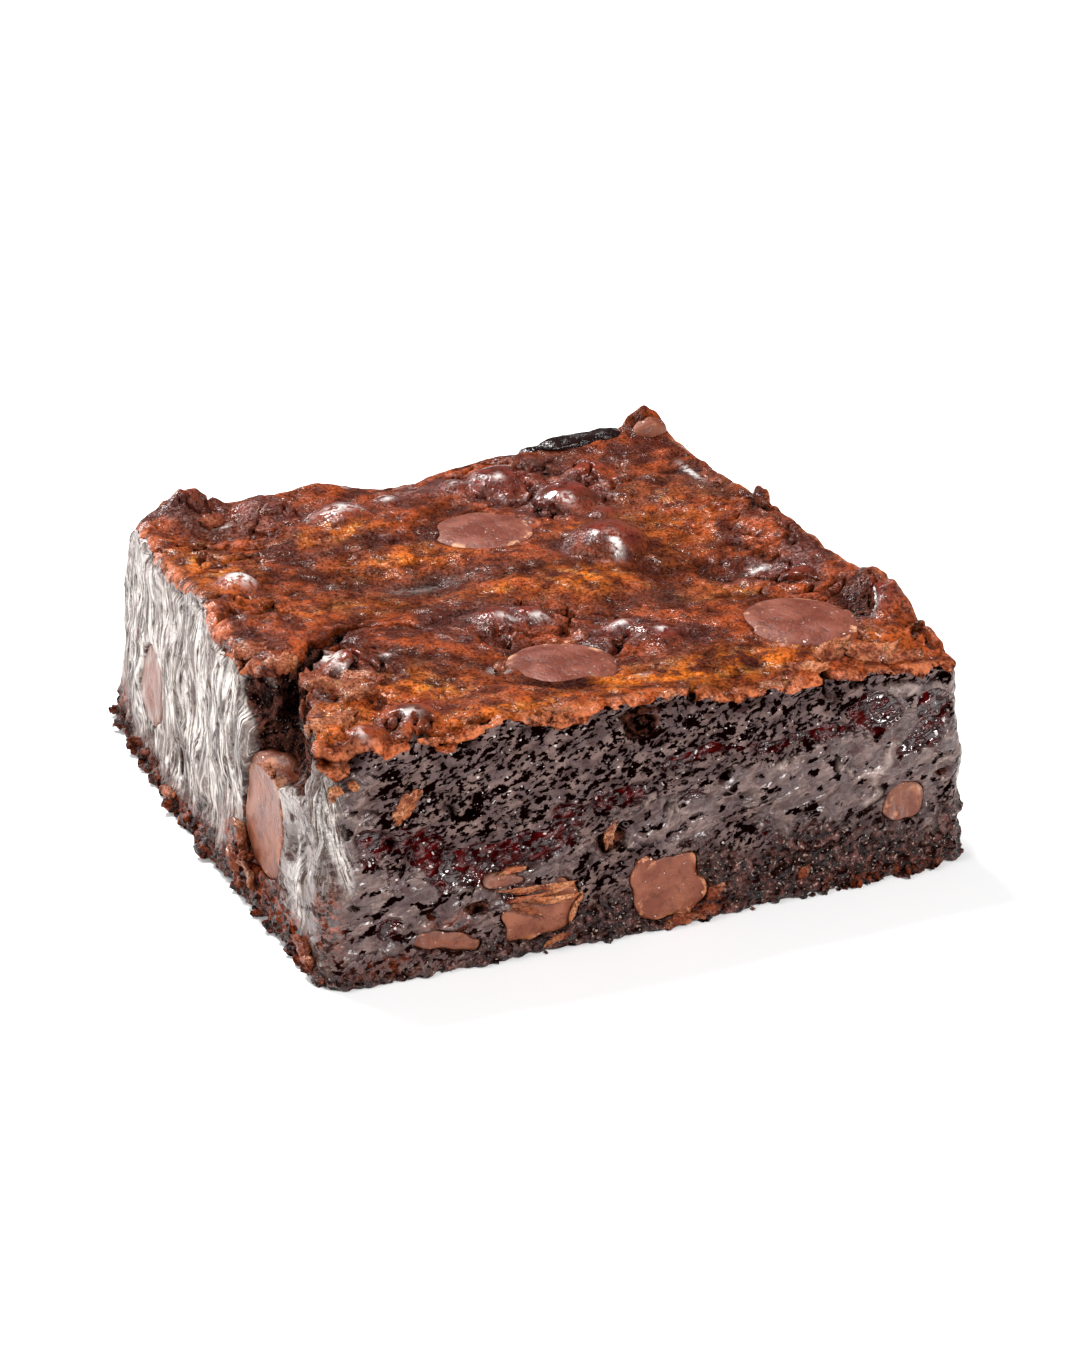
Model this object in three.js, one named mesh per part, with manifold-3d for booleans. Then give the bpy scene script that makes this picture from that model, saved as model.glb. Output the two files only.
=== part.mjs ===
// A cut square of fudge brownie with chocolate pieces baked in, in millimetres, +Z up.
// +X runs along the front cut face and +Y goes back from it. The origin is on the table under the middle.
import * as THREE from "three";
import { mergeVertices } from "three/addons/utils/BufferGeometryUtils.js";
import Module from "manifold-3d";

const wasm = await Module();
wasm.setup();

// Plan of the cut at the table, and of the crust's rim with its height, corner by corner.
const FOOT = {
  frontLeft: [-34.6, -36.4],
  frontRight: [36.4, -36.4],
  backLeft: [-36.2, 36.4],
  backRight: [35.8, 36.6],
};
const RIM = {
  frontLeft: [-34.7, -35.4, 25.2],
  frontRight: [35.3, -35.6, 22.6],
  backLeft: [-33.9, 34.2, 23.8],
  backRight: [34.9, 35.6, 26.2],
};
const HALF_RIM = { x: 34.6, y: 35.4 }; // half the width and depth of the crust
const HALF_PLAN = { x: 35, y: 36 }; // half the mean width and depth of the cut
const MEAN_RIM_HEIGHT = 25;
const FOOT_BULGE = 1.3; // how far a cut face swells out at the middle of its foot
const CORNER_ROUND = 2.4; // down the four upright corners
const RIM_ROUND = 1.5; // soft edge round the crust
const FOOT_ROUND = 0.9;
const FOOT_DRAW = 0.45; // how far the foot draws in at the table

// How far the rim stands above a straight line between its corners: place along the edge, height.
const RIM_RISE = {
  right: [
    [-34, 0.2],
    [-28, 2.6],
    [-22, 3.4],
    [-11, 1.8],
    [-3, 2],
    [8, 2],
    [22, 1],
    [36, 1.2],
  ],
  back: [
    [-35, 0.4],
    [-28, 2.2],
    [-22, 0.8],
    [-13, 1.6],
    [-3, -0.2],
    [6, 0],
    [13, 0.5],
    [23, 0.9],
    [35, 1.1],
  ],
  left: [
    [-35, 0.2],
    [-20, 0.9],
    [-4, 1.3],
    [14, 1],
    [28, 1.5],
    [35, 1],
  ],
  front: [
    [-35, 0],
    [-20, 0.3],
    [0, 0.7],
    [20, 0.8],
    [35, 0],
  ],
};
const RIM_REACH = 6.5; // how far in from the edge the rise of the rim fades away

// Steps of the modelled surface, about 2.2 mm apart, with the rows closer together near the crust.
const STEPS = { across: 31, deep: 32, up: 8 };
const ROW_CLOSENESS = 1.25;

// Long waves of the baked crust: height, length along x and along y, and shift.
const CRUST_WAVES = [
  [0.3, 5.3, 9.1, 0.6],
  [0.26, -8.2, 4.7, 2.1],
];
const CRUST_RIPPLE = { height: 0.2, x: 2.9, y: 3.3, shiftX: 1.3, shiftY: 0.4 };

// Waves that the knife left in a cut face: height, and lengths along the face and up it.
const KNIFE_WAVE = { height: 0.3, along: 4.1, up: 6.3, crossAlong: 9, crossUp: 3.7 };
const KNIFE_RIPPLE = { height: 0.16, along: 1.9, up: 2.3 };
const WAVE_FREE_FOOT = 3; // the waves fade out this near the table

// The ragged lip of the crust down a cut face: how far down and out, and scallops as height, length, shift.
const LIP = { drop: 1.5, proud: 0.4 };
const LIP_SCALLOPS = [
  [0.8, 3.1, 0.7],
  [0.6, 1.7, 0],
];
const SIDE_SHIFT = 11; // the faces left and right carry the same waves from another place

// Mounds and dips of the crust: middle x, y, reach along x and y, height.
const MOUNDS = [
  [32, 34.4, 3.6, 2.6, 1.8], // the peak at the back corner, and the crag on it
  [32.4, 35.1, 2.3, 2.3, 1.7],
  [13.4, 4.8, 4.4, 4, 2.6], // a chocolate piece just under the crust
  [14.6, 19.9, 3.5, 3.2, 2],
  [9.3, 27.6, 3, 2.7, 1.8],
  [20.6, 25.6, 3, 2.7, 1.2],
  [-11.3, 24.5, 3.4, 3, 1.3],
  [-28.5, 7.8, 2.5, 2.3, 1.4],
  [-23.8, -31, 2.9, 2.6, 1.3],
  [-29.2, -33, 2.4, 2, 0.9],
  [31.4, -22.9, 2.8, 2.6, 1.4],
  [34.2, 6.8, 1.4, 1.6, 1.3], // crags along the right edge
  [34.4, -19.2, 2, 2, 0.9],
  [34.8, -24.6, 2.2, 2.2, 1],
  [34.2, -30, 1.8, 1.8, 0.8],
  [-33, 29.6, 1.6, 1.8, 0.6], // and the left
  [-32.4, -31.4, 1.8, 1.8, 0.6],
  [6.3, -18.4, 3.4, 2.6, 0.9],
  [-4.8, -10.6, 4.4, 3, 0.8],
  [-26.6, 33.4, 4.2, 3, 1.6],
  [-18.6, 30.6, 2.6, 2.4, 0.9],
  [-25.2, -17.6, 3, 2.6, 0.9],
  [-25.6, -23.4, 2.8, 2.2, 0.6],
  [27.6, -7, 4, 2.4, -0.9],
  [-8.5, 3.4, 9, 4, -0.8],
  [14, -9.6, 8, 3.4, -0.6],
  [31.6, 15.6, 3.4, 5, -1],
  [-16, -31.4, 6, 3, 0.5],
];

// Chocolate discs lying in the crust: middle x, y, half width, half thickness, how far the top stands proud.
const DISCS = {
  disc_back: [2.4, 15.2, 6.7, 1.7, 0.7],
  disc_front: [-4.5, -22.8, 6.3, 1.7, 0.65],
  disc_right: [23.5, -21.8, 6.6, 1.7, 0.75],
};
const DISC_FLATNESS = 0.5; // 1 is a lens, and less gives a flatter top with round edges

// Chocolate pieces that the knife cut: face, place along it, height, half sizes along, in and up, turn.
const CUT_CHIPS = {
  chip_left_front: ["left", -19.2, 11.2, 5.4, 5, 6.2, 8],
  chip_left_back: ["left", 20, 9.8, 4.2, 3.6, 4.6, 12],
  chip_front_a: ["front", -12.7, 4.2, 4.3, 3.6, 2.5, -9],
  chip_front_b: ["front", 1.3, 4.6, 4, 3.8, 3.5, -14],
  chip_front_c: ["front", -22, 3, 3.4, 3, 1.2, 14],
  chip_front_d: ["front", 28.8, 8.4, 2.1, 2.4, 1.9, 0],
  chip_front_e: ["front", -16.2, 8.4, 2.5, 2.2, 0.9, 4],
  chip_right_a: ["right", -12, 8.2, 4.6, 3.8, 2.6, -8],
  chip_right_b: ["right", 17, 12.4, 3.4, 3.2, 3, 20],
  chip_back_a: ["back", -15, 6.2, 4.4, 3.6, 2.8, 10],
  chip_back_b: ["back", 13, 13.4, 3.2, 3, 2.4, -18],
};
const PEAK_CHIP = { at: [32.1, 33], half: [2.4, 1.7, 2], proud: 0.1, turn: 12 };
const CHIP_BURIED = 0.25; // share of its depth that a cut piece's middle lies behind the face
const CHOCOLATE_GAP = 0.3; // air between a chocolate piece and the crumb round it
const CHIP_INSET = 0.15; // the knife leaves a cut piece this far behind the crumb

// The crack in the crust, from the left rim inwards: x, y, width.
const CRACK = [
  [-37, -23, 8.4],
  [-34, -21, 6.4],
  [-31.4, -17.4, 2.6],
  [-28.6, -14, 2.3],
  [-25.3, -10.2, 1.9],
  [-22.2, -7.4, 1.7],
  [-19.3, -6, 1],
  [-16, -7.2, 0.6],
  [-13.6, -9.8, 0.3],
];
const SIDE_CRACKS = [
  [
    [-28, -21.4, 0.5],
    [-30.4, -20.6, 1.7],
    [-33.4, -19.6, 1.6],
  ],
  [
    [-31.4, 23.8, 0.8],
    [-28.8, 22.6, 0.9],
    [-26.4, 21.8, 0.4],
  ],
  [
    [34, -18.4, 1.2],
    [30.4, -15.8, 1.4],
    [27.4, -15, 0.6],
  ],
];
const CRACK_DEPTH = 5;
const SIDE_CRACK_DEPTH = 1.8;
const CRACK_HEADROOM = 8; // the cutting prism ends this far above the crust
const CRACK_RAGGED = { share: 0.3, turn: 2.4 };

// Hollows broken out of the edge: middle and half sizes.
const HOLLOWS = [
  { at: [-36.4, -21.6, 21.6], half: [4.6, 9.6, 4.4] },
  { at: [-36, -28, 21], half: [3.4, 5, 3.4] },
  { at: [-34.6, -10, 25.4], half: [2.2, 2.1, 2] },
  { at: [-1.4, -36.9, 22.6], half: [1.7, 1.7, 1.6] },
];

// Flakes and blocks of broken crust that stand up: middle x, y, lift, half sizes, turn and tilt in degrees.
const FLAKES = [
  [21.4, -31.6, 0.7, 3, 0.5, 1.5, 24, 24],
  [26, -32.4, 0.5, 2.8, 0.6, 1.3, -14, 30],
  [33.2, 17.6, 0, 1.4, 3, 0.9, 12, 0],
  [-31.6, -16.2, 0, 1.7, 1.5, 0.9, 30, 0],
  [-27.8, -24.6, 0.1, 2.4, 1.3, 0.9, -35, 0],
  [-31.4, -31.2, 0, 2.2, 1.5, 0.8, 25, 0],
  [22.4, 34.4, 0.1, 4.6, 1.5, 0.9, 4, 0],
  [-25.4, 29.6, 0.2, 1.5, 1.2, 0.9, 20, 0],
];

// Crumbs stuck along the foot of a cut face: face, from, to, number and size.
const CRUMB_ROWS = [
  { face: "left", from: -34, to: 35, count: 13, size: 1.5 },
  { face: "front", from: 16, to: 33, count: 6, size: 1.3 },
  { face: "back", from: -30, to: 30, count: 5, size: 1.2 },
  { face: "right", from: -35, to: 30, count: 7, size: 1.4 },
];

const lerp = (a, b, t) => a + (b - a) * t;
const radians = THREE.MathUtils.degToRad;

// A value for plan position a, b, each from -1 to 1, from its values at four corners.
function acrossCorners(corners, a, b, k) {
  const front = lerp(corners.frontLeft[k], corners.frontRight[k], (a + 1) / 2);
  const back = lerp(corners.backLeft[k], corners.backRight[k], (a + 1) / 2);
  return lerp(front, back, (b + 1) / 2);
}

// Gentle waves of the baked crust.
function crustWaves(x, y) {
  const ripple = CRUST_RIPPLE;
  return CRUST_WAVES.reduce(
    (z, [height, alongX, alongY, shift]) => z + height * Math.sin(x / alongX + y / alongY + shift),
    ripple.height * Math.sin(x / ripple.x + ripple.shiftX) * Math.sin(y / ripple.y + ripple.shiftY),
  );
}

// The value at a place between listed points, easing from one to the next.
function between(points, place) {
  const next = points.findIndex(([at]) => at > place);
  if (next === 0) return points[0][1];
  if (next < 0) return points.at(-1)[1];
  const [[from, low], [to, high]] = [points[next - 1], points[next]];
  return lerp(low, high, THREE.MathUtils.smoothstep(place, from, to));
}

// Rise of the rim, fading inwards from each edge.
function rimRise(x, y) {
  const edges = [
    [RIM_RISE.right, y, RIM.frontRight[0] - x],
    [RIM_RISE.left, y, x - RIM.frontLeft[0]],
    [RIM_RISE.back, x, RIM.backRight[1] - y],
    [RIM_RISE.front, x, y - RIM.frontLeft[1]],
  ];
  const shares = edges.map(([points, along, inward]) => {
    const share = Math.exp(-((Math.max(0, inward) / RIM_REACH) ** 2));
    return [share, between(points, along) * share];
  });
  const total = shares.reduce((sum, [share]) => sum + share, 0);
  return shares.reduce((sum, [, rise]) => sum + rise, 0) / Math.max(1, total);
}

// Height of the crust above the table.
function crustHeight(x, y) {
  const level = acrossCorners(RIM, x / HALF_RIM.x, y / HALF_RIM.y, 2);
  const base = level + crustWaves(x, y) + rimRise(x, y);
  return MOUNDS.reduce(
    (z, [mx, my, rx, ry, h]) =>
      z + h * Math.exp(-(((x - mx) / rx) ** 2) - ((y - my) / ry) ** 2),
    base,
  );
}

// In and out of a cut face, along it and up it: knife waves, and the ragged lip of the crust.
function faceRelief(along, height, below) {
  const [wave, ripple] = [KNIFE_WAVE, KNIFE_RIPPLE];
  const cross = Math.sin(height / wave.crossUp + along / wave.crossAlong);
  const waves =
    wave.height * Math.sin(along / wave.along + height / wave.up) * cross +
    ripple.height * Math.sin(along / ripple.along + height / ripple.up);
  const lipDrop = LIP_SCALLOPS.reduce(
    (drop, [high, long, shift]) => drop + high * Math.sin(along / long + shift),
    LIP.drop,
  );
  return waves * Math.min(1, height / WAVE_FREE_FOOT) + (below < lipDrop ? LIP.proud : 0);
}

// Moves a point of the box from -1 to 1 to its place on the brownie.
function placeOnBrownie(point) {
  const { x: a, y: b } = point;
  const rise = 1 - ((1 - point.z) / 2) ** ROW_CLOSENESS;
  const bulge = FOOT_BULGE * (1 - rise);
  const x =
    lerp(acrossCorners(FOOT, a, b, 0), acrossCorners(RIM, a, b, 0), rise) + bulge * a * (1 - b * b);
  const y =
    lerp(acrossCorners(FOOT, a, b, 1), acrossCorners(RIM, a, b, 1), rise) + bulge * b * (1 - a * a);
  const height = crustHeight(x, y);
  const [inX, inY] = [(1 - Math.abs(a)) * HALF_PLAN.x, (1 - Math.abs(b)) * HALF_PLAN.y];
  const edgeIn = Math.min(inX, inY);
  const z = rise * height;
  const below = height - z;
  // The upright corners are round in plan.
  const [cutX, cutY] = [Math.max(0, CORNER_ROUND - inX), Math.max(0, CORNER_ROUND - inY)];
  const corner = 1 - CORNER_ROUND / Math.max(Math.hypot(cutX, cutY), CORNER_ROUND);
  // The rim rolls over, and the foot draws in a little.
  const [cutIn, cutUp] = [Math.max(0, RIM_ROUND - edgeIn), Math.max(0, RIM_ROUND - below)];
  const roll = 1 - RIM_ROUND / Math.max(Math.hypot(cutIn, cutUp), RIM_ROUND);
  const foot = Math.max(0, 1 - z / FOOT_ROUND) * FOOT_DRAW;
  const outX = Math.abs(a) === 1 ? faceRelief(y + SIDE_SHIFT, z, below) - foot : 0;
  const outY = Math.abs(b) === 1 ? faceRelief(x, z, below) - foot : 0;
  const [rollX, rollY] = [inX <= inY ? cutIn * roll : 0, inY <= inX ? cutIn * roll : 0];
  return point.set(
    x + Math.sign(a) * (outX - cutX * corner - rollX),
    y + Math.sign(b) * (outY - cutY * corner - rollY),
    z - cutUp * roll,
  );
}

// A closed manifold-3d solid from a three.js geometry.
function solidOf(geometry) {
  const bare = geometry.clone();
  for (const name of ["normal", "uv"]) bare.deleteAttribute(name);
  const merged = mergeVertices(bare, 1e-4);
  return new wasm.Manifold(
    new wasm.Mesh({
      numProp: 3,
      vertProperties: new Float32Array(merged.attributes.position.array),
      triVerts: new Uint32Array(merged.index.array),
    }),
  );
}

function geometryOf(solid) {
  const { vertProperties, triVerts } = solid.getMesh();
  const geometry = new THREE.BufferGeometry();
  geometry.setAttribute("position", new THREE.BufferAttribute(vertProperties, 3));
  geometry.setIndex(new THREE.BufferAttribute(triVerts, 1));
  geometry.computeVertexNormals();
  return geometry;
}

// The block of brownie: five gridded faces, and a flat base as a fan round its middle.
function brownieBlock() {
  const box = new THREE.BoxGeometry(2, 2, 2, STEPS.across, STEPS.deep, STEPS.up);
  const base = box.groups[5];
  const flat = box.toNonIndexed().attributes.position.array.slice(0, base.start * 3);
  const ring = [];
  const turns = [STEPS.across, STEPS.deep, STEPS.across, STEPS.deep];
  turns.forEach((steps, side) => {
    for (let i = 0; i < steps; i++) {
      const along = (2 * i) / steps - 1;
      ring.push([[along, -1], [1, along], [-along, 1], [-1, -along]][side]);
    }
  });
  const fan = ring.flatMap((p, i) => {
    const next = ring[(i + 1) % ring.length];
    return [0, 0, -1, next[0], next[1], -1, p[0], p[1], -1];
  });
  const positions = new Float32Array([...flat, ...fan]);
  const point = new THREE.Vector3();
  const rounded = (v) => Math.round(v * 1e5) / 1e5; // so that corners shared by two faces stay one
  for (let i = 0; i < positions.length; i += 3) {
    point.set(...[0, 1, 2].map((k) => rounded(positions[i + k])));
    placeOnBrownie(point).toArray(positions, i);
  }
  return new THREE.BufferGeometry().setAttribute(
    "position",
    new THREE.BufferAttribute(positions, 3),
  );
}

// A ball stretched to its half sizes, turned about the vertical and then tilted, at a place.
function lump(half, at, turn = 0, tilt = 0, around = 12, upDown = 8) {
  return new THREE.SphereGeometry(1, around, upDown)
    .rotateX(Math.PI / 2)
    .scale(...half)
    .rotateX(radians(tilt))
    .rotateZ(radians(turn))
    .translate(...at);
}

// A baking disc: a flat lens with round edges.
function disc(wide, thick, at) {
  const ball = new THREE.SphereGeometry(1, 16, 8).rotateX(Math.PI / 2);
  const { array } = ball.attributes.position;
  for (let i = 2; i < array.length; i += 3) {
    array[i] = Math.sign(array[i]) * Math.abs(array[i]) ** DISC_FLATNESS;
  }
  return ball.scale(wide, wide, thick).translate(...at);
}

// A crack as an upright prism, its two sides a little ragged.
function crackPrism(path, depth) {
  const left = [];
  const right = [];
  path.forEach(([x, y, width], i) => {
    const [ax, ay] = path[Math.max(0, i - 1)];
    const [bx, by] = path[Math.min(path.length - 1, i + 1)];
    const length = Math.hypot(bx - ax, by - ay);
    const [nx, ny] = [-(by - ay) / length, (bx - ax) / length];
    const half = width / 2;
    const ragged = half * (1 + CRACK_RAGGED.share * Math.sin(i * CRACK_RAGGED.turn));
    left.push(new THREE.Vector2(x + nx * ragged, y + ny * ragged));
    right.unshift(new THREE.Vector2(x - nx * half, y - ny * half));
  });
  const [mx, my] = path[Math.floor(path.length / 2)];
  return new THREE.ExtrudeGeometry(new THREE.Shape([...left, ...right]), {
    depth: depth + CRACK_HEADROOM,
    bevelEnabled: false,
  }).translate(0, 0, crustHeight(mx, my) - depth);
}

// Where a cut face stands, at a place along it and a height, and the way it looks.
const FACES = {
  left: { sides: ["frontLeft", "backLeft"], axis: 0, out: -1 },
  right: { sides: ["frontRight", "backRight"], axis: 0, out: 1 },
  front: { sides: ["frontLeft", "frontRight"], axis: 1, out: -1 },
  back: { sides: ["backLeft", "backRight"], axis: 1, out: 1 },
};
function faceAt(face, along, height) {
  const { sides, axis, out } = FACES[face];
  const half = axis === 0 ? HALF_RIM.y : HALF_RIM.x;
  const t = (along / half + 1) / 2;
  const rise = height / MEAN_RIM_HEIGHT;
  const foot = lerp(FOOT[sides[0]][axis], FOOT[sides[1]][axis], t);
  const rim = lerp(RIM[sides[0]][axis], RIM[sides[1]][axis], t);
  return lerp(foot, rim, rise) + out * FOOT_BULGE * (1 - rise) * (1 - (along / half) ** 2);
}
function pointOnFace(face, along, height, inset) {
  const { axis, out } = FACES[face];
  const depth = faceAt(face, along, height) - out * inset;
  return axis === 0 ? [depth, along, height] : [along, depth, height];
}

// A block that holds everything beyond the cut face, for trimming a chip that the knife went through.
function beyondFace(face, along, height) {
  const { axis, out } = FACES[face];
  const size = 30;
  const reach = 4;
  const at = pointOnFace(face, along, height, CHIP_INSET - size / 2);
  const low = pointOnFace(face, along, height - reach, 0)[axis];
  const high = pointOnFace(face, along, height + reach, 0)[axis];
  const lean = Math.atan2(high - low, 2 * reach);
  const block = new THREE.BoxGeometry(size, size, size);
  const pivot = out * (size / 2);
  const toEdge = axis === 0 ? [pivot, 0, 0] : [0, pivot, 0];
  block.translate(...toEdge);
  if (axis === 0) block.rotateY(lean);
  else block.rotateX(-lean);
  return block.translate(...at.map((v, k) => v - toEdge[k]));
}

// Each chocolate piece: its solid, and the socket that the crumb leaves for it.
function chocolatePieces() {
  const pieces = [];
  const grown = (half) => half.map((h) => h + CHOCOLATE_GAP);
  for (const [name, [x, y, wide, thick, proud]] of Object.entries(DISCS)) {
    const at = [x, y, crustHeight(x, y) + proud - thick];
    pieces.push({
      name,
      solid: solidOf(disc(wide, thick, at)),
      socket: solidOf(disc(wide + CHOCOLATE_GAP, thick + CHOCOLATE_GAP, at)),
    });
  }
  for (const [name, chip] of Object.entries(CUT_CHIPS)) {
    const [face, along, height, halfAlong, halfIn, halfUp, turn] = chip;
    const at = pointOnFace(face, along, height, halfIn * CHIP_BURIED);
    const sideways = FACES[face].axis === 0;
    const half = sideways ? [halfIn, halfAlong, halfUp] : [halfAlong, halfIn, halfUp];
    const shape = (sizes) => {
      const ball = lump(sizes, [0, 0, 0]);
      if (sideways) ball.rotateX(radians(turn));
      else ball.rotateY(radians(turn));
      return solidOf(ball.translate(...at));
    };
    pieces.push({
      name,
      solid: shape(half).subtract(solidOf(beyondFace(face, along, height))),
      socket: shape(grown(half)),
    });
  }
  const { at, half, proud, turn } = PEAK_CHIP;
  const place = [...at, crustHeight(...at) + proud - half[2]];
  pieces.push({
    name: "chip_peak",
    solid: solidOf(lump(half, place, turn)),
    socket: solidOf(lump(grown(half), place, turn)),
  });
  return pieces;
}

// A seeded stream of numbers from 0 to 1, for the crumbs.
function seeded(seed) {
  let state = seed;
  return () => {
    state = (state * 1664525 + 1013904223) % 4294967296;
    return state / 4294967296;
  };
}

function footCrumbs() {
  const random = seeded(7);
  return CRUMB_ROWS.flatMap(({ face, from, to, count, size }) =>
    Array.from({ length: count }, (_, i) => {
      const along = lerp(from, to, (i + 0.2 + 0.6 * random()) / count);
      const radius = size * lerp(0.6, 1.2, random());
      const flat = radius * lerp(0.6, 0.9, random());
      const at = pointOnFace(face, along, flat + 0.05, radius * lerp(0.1, 0.55, random()));
      return solidOf(lump([radius, radius * 1.3, flat], at, 180 * random(), 0, 7, 4));
    }),
  );
}

function crustFlakes() {
  return FLAKES.map(([x, y, lift, hx, hy, hz, turn, tilt]) =>
    solidOf(lump([hx, hy, hz], [x, y, crustHeight(x, y) + lift], turn, tilt, 8, 5)),
  );
}

const chocolate = new THREE.MeshStandardMaterial({ color: 0x6b3a2a, roughness: 0.35 });
const browniePaint = new THREE.MeshStandardMaterial({ color: 0x3a1a12, roughness: 0.5 });

const pieces = chocolatePieces();
let brownie = solidOf(brownieBlock());
for (const bit of [...footCrumbs(), ...crustFlakes()]) brownie = brownie.add(bit);
const cuts = [
  crackPrism(CRACK, CRACK_DEPTH),
  ...SIDE_CRACKS.map((path) => crackPrism(path, SIDE_CRACK_DEPTH)),
  ...HOLLOWS.map(({ at, half }) => lump(half, at, 0, 0, 10, 7)),
].map(solidOf);
for (const cut of [...cuts, ...pieces.map((piece) => piece.socket)]) brownie = brownie.subtract(cut);
// Scraps that a cut leaves loose are dropped.
brownie = brownie.decompose().sort((a, b) => b.volume() - a.volume())[0];

const part = new THREE.Group();
const addMesh = (name, solid, material) => {
  const mesh = new THREE.Mesh(geometryOf(solid), material);
  mesh.name = name;
  part.add(mesh);
};
addMesh("brownie", brownie, browniePaint);
for (const { name, solid } of pieces) addMesh(name, solid, chocolate);

export default part;
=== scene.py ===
import math

import bpy
import numpy as np
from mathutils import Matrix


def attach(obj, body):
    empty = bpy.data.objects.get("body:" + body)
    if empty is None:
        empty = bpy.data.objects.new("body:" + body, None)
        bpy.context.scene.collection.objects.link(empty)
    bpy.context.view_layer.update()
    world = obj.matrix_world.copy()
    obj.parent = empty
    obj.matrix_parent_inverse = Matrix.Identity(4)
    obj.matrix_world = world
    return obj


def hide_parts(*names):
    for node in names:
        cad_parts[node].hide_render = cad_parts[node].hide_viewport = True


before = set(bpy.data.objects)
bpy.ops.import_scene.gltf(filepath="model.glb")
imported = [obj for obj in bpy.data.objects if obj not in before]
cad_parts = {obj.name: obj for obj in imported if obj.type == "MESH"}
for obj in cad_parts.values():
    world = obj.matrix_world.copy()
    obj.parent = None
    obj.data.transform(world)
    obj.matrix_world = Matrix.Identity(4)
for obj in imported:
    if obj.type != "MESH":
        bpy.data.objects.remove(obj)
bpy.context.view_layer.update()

# A cut square of fudge brownie, sculpted in millimetres as a field of distances and then meshed.
# Negative is inside. +X runs along the front cut face and +Y goes back from it.
mm = 0.001
sample = 0.27  # mm between samples of the field


# Numbers and noise

def lerp(a, b, t):
    return a + (b - a) * t


def ease(low, high, value):
    t = np.clip((value - low) / (high - low), 0, 1)
    return t * t * (3 - 2 * t)


def seededNoise(seed, axes, spacing):
    # Soft noise, about -1 to 1: random values on a lattice of this spacing in mm, with cubic blending.
    # The lattice stays where it is, so two grids read the same noise.
    random = np.random.default_rng(seed)
    reach = 45  # mm from the origin to the end of the lattice
    counts = [int(2 * reach / size) + 5 for size in spacing]
    values = random.uniform(-1, 1, counts).astype(np.float32)
    for k, (axis, size) in enumerate(zip(axes, spacing)):
        place = (axis + reach) / size
        cell = place.astype(int)
        t = place - cell
        blend = np.zeros((len(axis), counts[k]), np.float32)
        rows = np.arange(len(axis))
        for offset, weight in enumerate((
                (1 - t) ** 3, 3 * t ** 3 - 6 * t ** 2 + 4, -3 * t ** 3 + 3 * t ** 2 + 3 * t + 1, t ** 3)):
            blend[rows, cell + offset] = weight / 6
        values = np.moveaxis(np.tensordot(blend, values, axes=(1, k)), 0, k)
    return values * 1.9  # the blending weakens it


def cells(seed, u, v, size):
    # Distance in cells from each place to the nearest of many scattered points, and a number for each point.
    random = np.random.default_rng(seed)
    u, v = u / size, v / size
    baseU, baseV = np.floor(u).astype(int), np.floor(v).astype(int)
    lowU, lowV = baseU.min() - 1, baseV.min() - 1
    table = random.random((3, baseU.max() - lowU + 2, baseV.max() - lowV + 2))
    near, name = np.full(u.shape, 9.0), np.zeros(u.shape)
    for stepU in (-1, 0, 1):
        for stepV in (-1, 0, 1):
            i, j = baseU + stepU - lowU, baseV + stepV - lowV
            distance = np.hypot(baseU + stepU + table[0, i, j] - u, baseV + stepV + table[1, i, j] - v)
            closer = distance < near
            name = np.where(closer, table[2, i, j], name)
            near = np.where(closer, distance, near)
    return near, name


def roundMax(a, b, radius):
    # Where both are inside, with the edge between them rounded.
    corner = np.hypot(np.maximum(a + radius, 0), np.maximum(b + radius, 0))
    return np.minimum(np.maximum(a, b), -radius) + corner


# The sampled block of space, in mm
low = (-40.5, -41.5, -1.4)
high = (41.0, 41.0, 31.5)
xs, ys, zs = (np.arange(a, b, sample) for a, b in zip(low, high))
gridX, gridY, gridZ = xs[:, None, None], ys[None, :, None], zs[None, None, :]
topX, topY = np.meshgrid(xs, ys, indexing="ij")
frontX, frontZ = np.meshgrid(xs, zs, indexing="ij")
leftY, leftZ = np.meshgrid(ys, zs, indexing="ij")


def mapAt(values, u, v, uAxis, vAxis):
    # Reads a flat map at places between its samples.
    i = np.clip((u - uAxis[0]) / sample, 0, len(uAxis) - 1.001)
    j = np.clip((v - vAxis[0]) / sample, 0, len(vAxis) - 1.001)
    a, b = i.astype(int), j.astype(int)
    s, t = i - a, j - b
    return lerp(lerp(values[a, b], values[a + 1, b], s), lerp(values[a, b + 1], values[a + 1, b + 1], s), t)


# Form of the whole block
blockForm = {
    "foot": {"frontLeft": (-34.6, -36.4), "frontRight": (36.4, -36.4),
             "backLeft": (-36.2, 36.4), "backRight": (35.8, 36.6)},
    "rim": {"frontLeft": (-34.7, -35.4, 25.2), "frontRight": (35.3, -35.6, 22.6),
            "backLeft": (-33.9, 34.2, 23.8), "backRight": (34.9, 35.6, 26.2)},
    "footBulge": 1.3,      # the cut faces swell at the middle of the foot
    "cornerRound": 2.4,
    "rimRound": 1.3,
    "footRound": 0.9,
    "rimReach": 6.5,       # how far in from the edge the rise of the rim fades
    "rimRise": {
        "right": ((-34, 0.2), (-28, 2.6), (-22, 3.4), (-11, 1.8), (-3, 2), (8, 2), (22, 1), (36, 1.2)),
        "back": ((-35, 0.4), (-28, 2.2), (-22, 0.8), (-13, 1.6), (-3, -0.2), (6, 0), (13, 0.5),
                 (23, 0.9), (35, 1.1)),
        "left": ((-35, 0.2), (-20, 0.9), (-4, 1.3), (14, 1), (28, 1.5), (35, 1)),
        "front": ((-35, 0), (-20, 0.3), (0, 0.7), (20, 0.8), (35, 0)),
    },
}


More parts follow.
